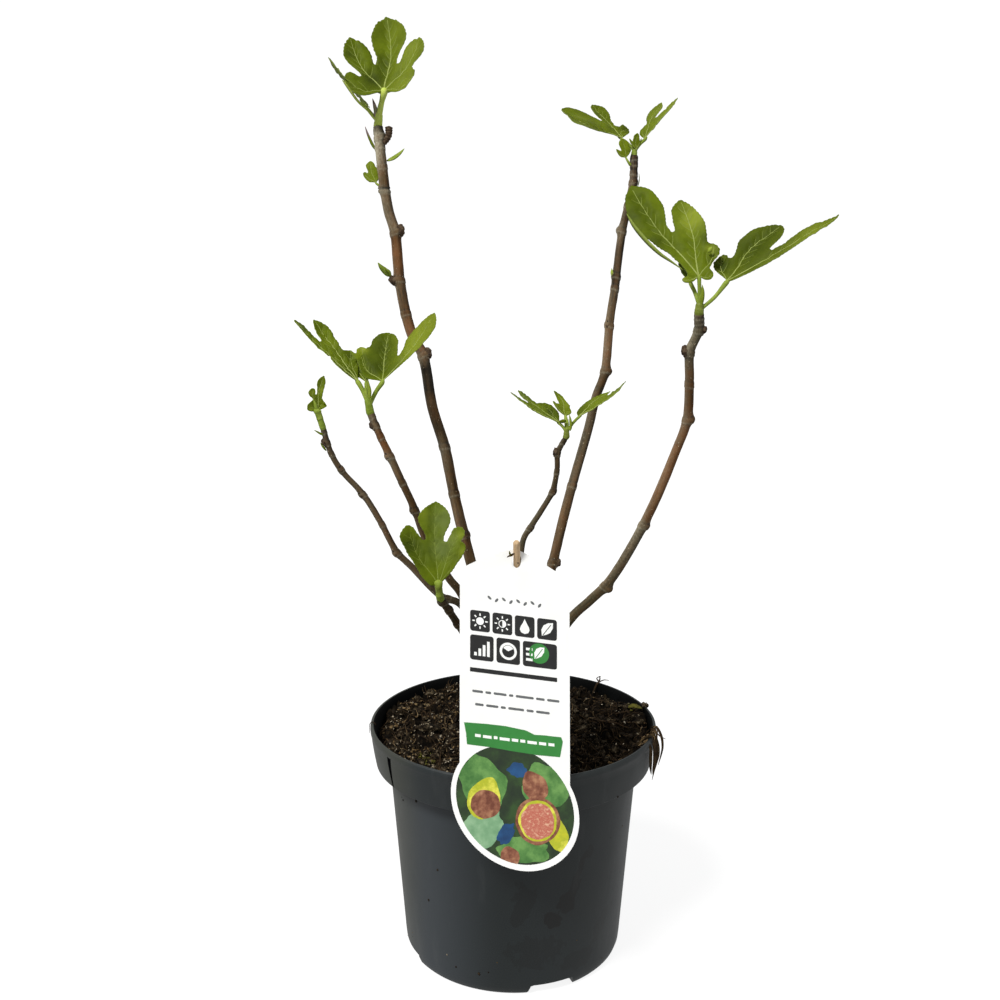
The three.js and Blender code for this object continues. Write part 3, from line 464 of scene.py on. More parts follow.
# ------------------------------------------------------------------ limbs
BOUGHS = {
    "bough_tall_left": dict(r=[4.4, 3.9], nodes=[[-6.5, 4.5, 207], [-17.5, 10, 256], [-32.8, 15.3, 309], [-44.5, 23.3, 355.3], [-53.4, 30.7, 398.3], [-62.7, 36.1, 428.2], [-70.1, 43.1, 468], [-79.4, 46.7, 486.3], [-87.9, 53.6, 524.5], [-91.7, 60.3, 561.8], [-97.1, 63.8, 580.8], [-102.2, 70, 618], [-104.7, 75, 642.3]]),
    "bough_mid_left": dict(r=[3.3, 2.7], nodes=[[-10, 3, 198], [-22.5, -2, 248], [-40.9, -4.9, 291.3], [-49.2, -5.7, 302.6], [-67.7, -8.2, 337], [-74.2, -9.5, 356.7], [-84.9, -11.3, 381.5], [-92, -12.6, 398.4], [-97.6, -13.5, 410.5], [-105.5, -15, 430.9]]),
    "bough_far_left": dict(r=[3.2, 1.9], nodes=[[-10, -4, 202], [-23, -10.5, 250], [-40.5, -16.4, 285.1], [-54.7, -20.2, 292.5], [-76.4, -28.2, 318], [-86.3, -31.9, 329.7], [-97.7, -38.6, 354.6], [-109, -44.8, 375.9], [-123.5, -51.1, 394.6], [-129.7, -54.9, 407.5], [-134.1, -60, 426.1]]),
    "shoot_low_left": dict(r=[3.2, 2.7], nodes=[[-8, -9, 197], [-25, -24, 243], [-41.4, -38.6, 276.2], [-47.6, -46.8, 288.8], [-53.2, -54.5, 300.2]]),
    "bough_middle": dict(r=[2.6, 1.9], nodes=[[4.5, -6.5, 208], [5, -12, 270], [7.1, -18.9, 334.9], [12.2, -21, 345.4], [20.3, -23.8, 358.9], [28.5, -27, 374.7], [31.5, -30, 390.9], [32, -32.5, 403.9], [37.5, -35, 416]]),
    "bough_tall_right": dict(r=[4.2, 3.0], nodes=[[5, 5, 207], [19, 15, 262], [32.5, 24.2, 311.6], [38.8, 30.7, 336.8], [46.8, 38.2, 366], [60.5, 50.3, 412.1], [66.1, 56.1, 434.5], [73, 61.1, 453.1], [77.6, 71.7, 494.3], [81.7, 78.1, 519.3], [85, 85.2, 546.7], [88.4, 90.5, 567], [96.6, 99.7, 602.5], [97.5, 105, 623]]),
    "bough_right": dict(r=[3.7, 3.1], nodes=[[9.5, -1.5, 203], [25, -9, 240], [44.6, -17.4, 275.1], [58.1, -22.4, 290], [70.6, -27.3, 304.7], [86.8, -36.3, 335.3], [101.8, -47, 372], [113.3, -57.7, 408], [119.8, -65.1, 432.4], [119.3, -73.6, 461], [118.1, -79.5, 480.5], [122.5, -84.6, 495.6], [121.9, -88, 506.3]]),
}
# leaf-scar nodes up each bough: [height, side it swells to (-1 left, 1 right, 0 front, 2 back), how far it stands out in mm, kind]
FEATURES = {
    "bough_tall_left": [[245, 1, 0.9, "scar"], [290, -1, 0.9, "scar"], [330, 1, 0.8, "scar"], [362, 0, 0.5, "ring"], [398.3, -1, 0.6, "ring"], [468, 1, 4.2, "knob"], [500, 0, 0.5, "ring"],
                        [525.5, -1, 4.4, "knob"], [561.8, 1, 5.2, "knob"], [594.5, -1, 1.6, "crack"], [612, 2, 0.4, "ring"], [627, 0, 0.5, "ring"], [634, 1, 2.0, "stub"], [638.5, -1, 1.3, "ring"]],
    "bough_mid_left": [[240, 1, 0.7, "scar"], [282, -1, 0.7, "scar"], [318, 1, 0.7, "scar"], [356.7, -1, 1.5, "scar"], [378, 0, 0.4, "ring"], [398.4, -1, 1.4, "palescar"], [413, 1, 0.5, "ring"], [422, -1, 1.6, "knob"], [428.5, 1, 0.6, "ring"]],
    "bough_far_left": [[238, 1, 0.6, "scar"], [290, -1, 0.7, "scar"], [329.7, -1, 1.4, "scar"], [352, 0, 0.4, "ring"], [375.9, -1, 1.1, "scar"], [394.6, 1, 0.6, "scar"], [407.5, -1, 0.9, "ring"], [415.5, -1, 1.6, "knob"], [423.5, 1, 0.6, "ring"]],
    "shoot_low_left": [[240, 1, 0.5, "scar"], [276, -1, 0.6, "scar"], [290, 1, 1.2, "scar"], [297.5, -1, 1.2, "scar"]],
    "bough_middle": [[262, 1, 0.5, "scar"], [310, -1, 0.5, "scar"], [345.4, 1, 0.7, "scar"], [374.5, 1, 1.3, "scar"], [390, 0, 0.4, "ring"], [403.9, -1, 1.8, "knob"], [412.5, 1, 0.6, "ring"]],
    "bough_tall_right": [[250, -1, 0.8, "scar"], [307.3, 1, 2.2, "knob"], [366, 0, 0.5, "ring"], [454.8, 1, 2.4, "scar"], [490, -1, 0.6, "scar"], [519.3, -1, 1.0, "ring"], [528, -1, 0.7, "greenbud"],
                         [563.7, -1, 2.2, "palescar"], [584, 1, 0.6, "scar"], [602, 1, 0.8, "scar"], [609, -1, 1.2, "ring"], [616, 1, 0.6, "ring"], [620.5, 1, 0.4, "ring"]],
    "bough_right": [[232, -1, 0.7, "scar"], [262, 1, 0.8, "scar"], [302.1, 1, 3.0, "scar"], [352, 1, 1.5, "palescar"], [433.1, 1, 2.4, "scar"], [458, -1, 0.3, "ring"], [480.5, -1, 3.2, "knob"], [496, 1, 1.8, "knob"], [501.5, 1, 1.2, "ring"], [505, 0, 0.4, "ring"]],
}
# how the bark ages up each bough: [height, warmth, paleness, darkness]
BARK = {
    "bough_tall_left": [[205, 0.15, 0.05, 0.35], [300, 0.35, 0.05, 0.3], [380, 0.4, 0.1, 0.25], [398, 0.35, 0.25, 0.15], [412, 0.35, 0.08, 0.25], [433, 0.4, 0.05, 0.25], [441, 0.3, 0, 0.74], [458, 0.3, 0, 0.95], [468, 0.35, 0.3, 0.1], [476, 0.8, 0.1, 0.1], [486, 0.9, 0.1, 0], [500, 0.55, 0.05, 0.25], [522, 0.4, 0.2, 0.1], [532, 0.75, 0.1, 0.1], [548, 0.9, 0.05, 0.1], [557, 0.65, 0, 0.3], [566, 0.35, 0.35, 0], [580, 0.3, 0.25, 0.15], [592, 0.35, 0.3, 0.1], [600, 0.4, 0.1, 0.2], [606, 0.45, 0.2, 0.05], [614, 0.5, 0.6, 0], [622, 0.4, 0.95, 0], [634, 0.3, 1.0, 0], [639, 0.1, 0.5, 0.15], [643, 0.0, 0.5, 0.1]],
    "bough_mid_left": [[198, 0.2, 0.05, 0.4], [300, 0.25, 0.05, 0.4], [350, 0.3, 0.05, 0.35], [380, 0.45, 0.1, 0.15], [397, 0.3, 0.35, 0], [405, 0.8, 0.1, 0], [415, 0.8, 0.05, 0.1], [422, 0.3, 0.2, 0.2], [431, 0.2, 0.25, 0.2]],
    "bough_far_left": [[200, 0.15, 0.2, 0.2], [290, 0.1, 0.28, 0.16], [318, 0.3, 0.25, 0.16], [345, 0.5, 0.2, 0.1], [376, 0.3, 0.3, 0.1], [400, 0.2, 0.2, 0.2], [426, 0.2, 0.12, 0.4]],
    "shoot_low_left": [[197, 0.2, 0.1, 0.3], [270, 0.25, 0.1, 0.25], [300, 0.2, 0.2, 0.3]],
    "bough_middle": [[205, 0.1, 0.1, 0.38], [340, 0.1, 0.15, 0.33], [370, 0.25, 0.1, 0.38], [404, 0.3, 0.1, 0.33], [416, 0.1, 0.05, 0.58]],
    "bough_tall_right": [[205, 0.25, 0.02, 0.39], [300, 0.35, 0.02, 0.39], [345, 0.45, 0.07, 0.14], [366, 0.35, 0.12, 0.24], [412, 0.25, 0.17, 0.39], [448, 0.4, 0.1, 0.3], [458, 0.5, 0.2, 0.08], [475, 0.65, 0.25, 0.0], [492, 0.45, 0.2, 0.1], [516, 0.35, 0.12, 0.32], [524, 0.4, 0, 0.62], [550, 0.4, 0.02, 0.57], [562, 0.25, 0.27, 0.14], [572, 0.35, 0.12, 0.34], [600, 0.5, 0.12, 0.49], [624, 0.45, 0.02, 0.64]],
    "bough_right": [[203, 0.1, 0.1, 0.4], [290, 0.2, 0.1, 0.25], [304, 0.25, 0.15, 0.15], [330, 0.1, 0.15, 0.4], [350, 0.15, 0.4, 0.1], [358, 0.55, 0.2, 0.05], [372, 0.9, 0.15, 0.0], [405, 0.95, 0.17, 0.0], [426, 0.75, 0.17, 0.0], [434, 0.4, 0.25, 0.0], [442, 0.7, 0.15, 0.05], [465, 0.5, 0.15, 0.05],
                    [478, 0.15, 0.25, 0.05], [486, 0.0, 0.4, 0.0], [493, 0.0, 0.3, 0.1], [500, 0.1, 0.15, 0.5], [507, 0.2, 0.2, 0.4]],
}
SIDE = {-1: np.array([-1.0, -0.35, 0]), 1: np.array([1.0, -0.35, 0]), 0: np.array([0, -1.0, 0]), 2: np.array([0, 1.0, 0])}
buds, scars, lenticels, green_bits = Mesh(), Mesh(), Mesh(), Mesh()


def bark_limb(name, row, features, nodes, sides=22, step=0.8):
    P, s = smooth_path(row["nodes"], step)
    T, N, B = frames(P)
    n, L = len(P), s[-1]
    a = np.arange(sides) * 2 * math.pi / sides
    A, S = np.meshgrid(a, s)
    r0, r1 = row["r"]
    R = np.repeat((r0 + (r1 - r0) * (s / L))[:, None], sides, 1)
    seed = (sum(ord(c) for c in name) % 97) * 1.7
    # long lumps, and fine ridges along the limb
    low = np.array([[noise.noise(Vector((math.cos(x) * 0.9 + seed, math.sin(x) * 0.9, y * 0.03))) for x in a] for y in s])
    fine = np.array([[noise.noise(Vector((math.cos(x) * 3.4, math.sin(x) * 3.4 + seed, y * 0.16))) for x in a] for y in s])
    R = R * (1 + 0.06 * low + 0.03 * fine)
    age = np.array(BARK[name])
    tone = np.stack([np.interp(P[:, 2], age[:, 0], age[:, k]) for k in (1, 2, 3)], 1)[:, None, :].repeat(sides, 1)
    tone[..., 1] *= 0.66
    # painted light: the left side, which faces the key light, is painted paler, and the right side is painted darker as
    # shade
    left = -(np.cos(A) * N[:, 0][:, None] + np.sin(A) * B[:, 0][:, None])
    tone[..., 2] += (0.3 + 0.7 * tone[..., 1]) * np.clip(-left, 0, 1) ** 1.3
    tone[..., 1] = tone[..., 1] * (1 + 0.8 * left) + 0.16 * np.clip(left, 0, 1) ** 2
    tone += 0.16 * low[..., None] * np.array([1.0, 0.6, -1.0])
    zs = P[:, 2]
    for z, side, size, kind in features:
        i = int(np.argmin(abs(zs - z)))
        d = SIDE[side]
        phi = math.atan2(d @ B[i], d @ N[i])
        turn = np.cos(A - phi)
        ds = S - s[i] - 0.5 * turn
        # a raised band round the limb, with a thin pale line under it and a fine groove over it
        R += (0.07 if kind == "ring" else 0.11) * r0 * np.exp(-((ds / 2.3) ** 4)) + 0.22 * np.exp(-(((ds + 2.1) / 0.5) ** 2)) - 0.16 * np.exp(-(((ds - 2.4) / 0.6) ** 2))
        tone[..., 1] += (0.3 if kind != "crack" else 0.2) * np.exp(-(((ds + 2.1) / 0.7) ** 2))
        tone[..., 2] += 0.35 * np.exp(-(((ds - 2.4) / 0.7) ** 2))
        if kind == "crack":
            R -= 0.9 * np.exp(-(((ds - 0.2) / 0.7) ** 2))
            tone[..., 2] += 1.3 * np.exp(-(((ds - 0.2) / 0.9) ** 2))
            tone[..., 1] += 0.3 * np.exp(-(((ds + 2.5) / 1.6) ** 2))
        one = np.exp(-((ds / 3.6) ** 2)) * np.exp(-(((1 - turn) / 0.45) ** 2))
        if kind != "ring":
            R += size * one * (0.42 if kind == "knob" else 0.8)
        r_here = r0 + (r1 - r0) * s[i] / L
        out = unit(d - T[i] * (d @ T[i]))
        across = np.cross(T[i], out)
        edge = P[i] + out * r_here
        if kind == "knob":
            lump(buds, edge + out * size * 0.12 + T[i] * 0.6, [unit(out + 0.25 * T[i]) * (0.62 * size + 0.9), T[i] * (2.3 + 0.5 * size), across * (2.0 + 0.28 * size)], "knob", 9, 13, seed=z, rough=0.5)
            front = unit(out * 0.55 + np.array([0, -1.0, 0]) * 0.85)
            lump(buds, edge + out * size * 0.2 + front * (1.0 + 0.2 * size) - T[i] * 0.3, [front * 0.9, T[i] * (0.7 + 0.22 * size), np.cross(T[i], front) * (0.6 + 0.2 * size)], "bud", 7, 9, seed=z + 2, rough=0.4)
            lump(scars, edge - T[i] * (2.3 + 0.25 * size) + out * 0.1, [out * 0.75, T[i] * 0.8, across * (1.7 + 0.2 * size)], "scar", 5, 10, seed=z + 1, rough=0.25)
        elif kind in ("scar", "palescar"):
            front = unit(out * 0.7 + np.array([0, -1.0, 0]) * 0.7)
            base_ = P[i] + front * (r_here + 0.15 * size)
            lump(buds, base_ + T[i] * 2.3 - front * 0.25, [unit(T[i] + 0.3 * front) * 1.8, front * 0.8, np.cross(T[i], front) * 1.0], "bud", 7, 9, seed=z, rough=0.25, point=0.5)
            lump(scars, base_ - T[i] * 0.5 + out * 0.25 * size, [front * 0.7, T[i] * 1.3, np.cross(T[i], front) * 1.6], "scar" if kind == "palescar" else "knob", 6, 11, seed=z + 1, rough=0.3)
            if kind == "palescar":
                lump(buds, base_ - T[i] * 0.4 + front * 0.5 + out * 0.2 * size, [front * 0.45, T[i] * 0.6, np.cross(T[i], front) * 0.7], "bud", 5, 8, seed=z + 3, rough=0.3)
        elif kind == "stub":
            # an old fruit stalk: a short ringed peg that turns up
            Q, qs = smooth_path(np.array([P[i] + out * 2.0 - T[i] * 5.0, P[i] + out * 5.0 - T[i] * 3.2, P[i] + out * 8.0 + T[i] * 0.4, P[i] + out * 9.0 + T[i] * 6.6]), 0.35)
            rr = 2.2 + 0.2 * np.sin(qs * 3.2) + 0.05 * qs
            tube(buds, Q, rr, "knob", 13)
            end = Q[-1] - Q[-2]
            lump(buds, Q[-1] + unit(end) * 0.35, [unit(end) * 0.8, across * 1.5, np.cross(unit(end), across) * 1.5], "bud", 6, 10, seed=5, rough=0.3)
        elif kind == "greenbud":
            lump(green_bits, edge + T[i] * 2.2 + out * 0.7, [unit(T[i] + 0.25 * out) * 3.6, out * 1.4, across * 1.5], "stalk", 8, 10, seed=z, rough=0.1, point=0.6)
    tone = np.clip(tone, 0, 1)
    m = Mesh()
    tube(m, P, R, "bark", sides, round_ends=False, tone=tone)
    m.build(name + "_bark", "bark", nodes)
    # pores
    r = random.Random(name)
    for _ in range(int(L * 0.3)):
        i = r.randrange(2, n - 2)
        k = r.randrange(sides)
        d = N[i] * math.cos(a[k]) + B[i] * math.sin(a[k])
        e = np.cross(T[i], d)
        q = r.uniform(0.2, 0.46)
        lump(lenticels, P[i] + d * (R[i, k] - 0.03), [d * 0.16, T[i] * q * 1.3, e * q * 0.8], "lenticel", 4, 6, seed=i, rough=0.2)
    return P, T


tips = {}
for name, row in BOUGHS.items():
    nodes = ["bough_right_lower", "bough_right_upper"] if name == "bough_right" else [name]
    P, T = bark_limb(name, row, FEATURES[name], nodes)
    tips[name] = (P[-1], T[-1])
buds.build("buds", "bark")
scars.build("leaf_scars", "bark")
lenticels.build("bark_pores", "bark")

# ------------------------------------------------------------------ trunk
SOIL_Z = 174.2


def soil_height(x, y):
    r = math.hypot(x, y)
    fade = min(1.0, max(0.0, (r - 20) / 20)) ** 1.5
    wave = math.sin(x * 0.083 + 1.1) * math.cos(y * 0.071 - 0.4) + 0.6 * math.sin(x * 0.19 - y * 0.13 + 2.0)
    clod = noise.fractal(Vector((x * 0.09, y * 0.09, 1.7)), 1.0, 2.1, 4)
    fine = noise.fractal(Vector((x * 0.35, y * 0.35, 4.2)), 0.9, 2.0, 3)
    edge = -1.2 * max(0.0, (r - 98) / 9)
    heap = 9.5 * math.exp(-((x - 103) ** 2) / 330 - ((y - 13) ** 2) / 1200)
    near = noise.voronoi(Vector((x * 0.105 + 0.35 * clod, y * 0.105 + 0.3 * fine, 3.3)))[0]
    gap = math.exp(-(((near[1] - near[0]) / 0.17) ** 2))
    # it lies higher against the wall at the back
    back = min(1.0, max(0.0, (r - 52) / 44)) * min(1.0, max(0.0, (y + 8) / 45))
    return SOIL_Z + (6.6 if x < 0 else 6.6 - 1.6 * min(1.0, x / 20)) * back + heap + fade * (1.5 * wave - 0.2 + 2.0 * clod + 1.1 * fine + 1.8 * (0.45 - near[0]) - 5.2 * gap) + (1 - fade) * 0.35 * fine + edge


m = Mesh()
P, s = smooth_path([[0, 2, 172.5], [-0.3, 1.8, 179], [-1, 1.3, 187], [-1.8, 0.6, 199], [-2.5, 0, 210.5]], 0.9)
sides = 44
a = np.arange(sides) * 2 * math.pi / sides
T, N, B = frames(P)
prof = np.interp(s, [0, 2.5, 8, 16, 27, 38], [18.8, 17.8, 15.2, 13.2, 12.2, 12.6])
R = np.zeros((len(P), sides))
for i in range(len(P)):
    for k in range(sides):
        x = a[k]
        lobes = 0.10 * math.cos(5 * x + 0.6) * math.exp(-s[i] / 14) + 0.05 * math.cos(3 * x + 1.0) * min(1, s[i] / 20)
        bark = noise.fractal(Vector((math.cos(x) * 2.2, math.sin(x) * 2.2, s[i] * 0.07)), 0.8, 2.0, 4)
        R[i, k] = prof[i] * (1 + lobes + 0.05 * bark)
tone = np.tile([0.2, 0.1, 0.4], (len(P), sides, 1))
tube(m, P, R, "bark", sides, tone=tone)
m.build("trunk_bark", "bark", ["trunk"])

# ------------------------------------------------------------------ dry leader through the label
STUB = [[0, -8.5, 205], [0.5, -36, 258], [1.2, -64.5, 308], [1.7, -75.4, 329.3], [1.3, -83.5, 350.1]]
m = Mesh()
P, s = smooth_path(STUB, 0.6)
sides = 22
a = np.arange(sides) * 2 * math.pi / sides
R = np.zeros((len(P), sides))
for i in range(len(P)):
    for k in range(sides):
        x = a[k]
        ridge = noise.noise(Vector((math.cos(x) * 3.0, math.sin(x) * 3.0, s[i] * 0.03)))
        R[i, k] = (2.6 - 0.25 * s[i] / s[-1]) * (1 + 0.08 * ridge)
end = s[-1]
for i in range(len(P)):
    if end - s[i] < 1.5:
        R[i] *= 1 - 0.3 * (1 - (end - s[i]) / 1.5) ** 2
tube(m, P, R, "dry_wood", sides, round_ends=False)
m.build("leader_stub_wood", "dry_wood", ["leader_stub"], sharp=50)
m = Mesh()
T, N, B = frames(P)
# a dead scale at its side, and at its foot a dark lump that is painted shade by the label's hole
i = int(np.argmin(abs(P[:, 2] - 342)))
sliver(m, [P[i] + np.array([-1.6, -1.2, -1.0]), P[i] + np.array([-3.6, -2.4, -2.2]), P[i] + np.array([-5.4, -3.0, -2.6]), P[i] + np.array([-6.9, -3.2, -3.6])], 1.4, "dry_leaf", face=(0, -1, 0.4))
sliver(m, [P[i] + np.array([-4.2, -2.6, -2.4]), P[i] + np.array([-4.8, -2.8, -0.6]), P[i] + np.array([-5.2, -2.9, 1.0])], 1.2, "moss", face=(0, -1, 0))
# painted shade: a small dark lump on the peg's front where it meets the label's hole
i = int(np.argmin(abs(P[:, 2] - 334)))
lump(m, P[i] + np.array([0.2, -2.2, 0]), [np.array([0, -0.5, 0]), np.array([0, 0, 0.5]), np.array([1.5, 0, -0.4])], "bud", 5, 9, seed=3, rough=0.3)
m.build("leader_stub_flecks_and_painted_shade", "dry_wood")
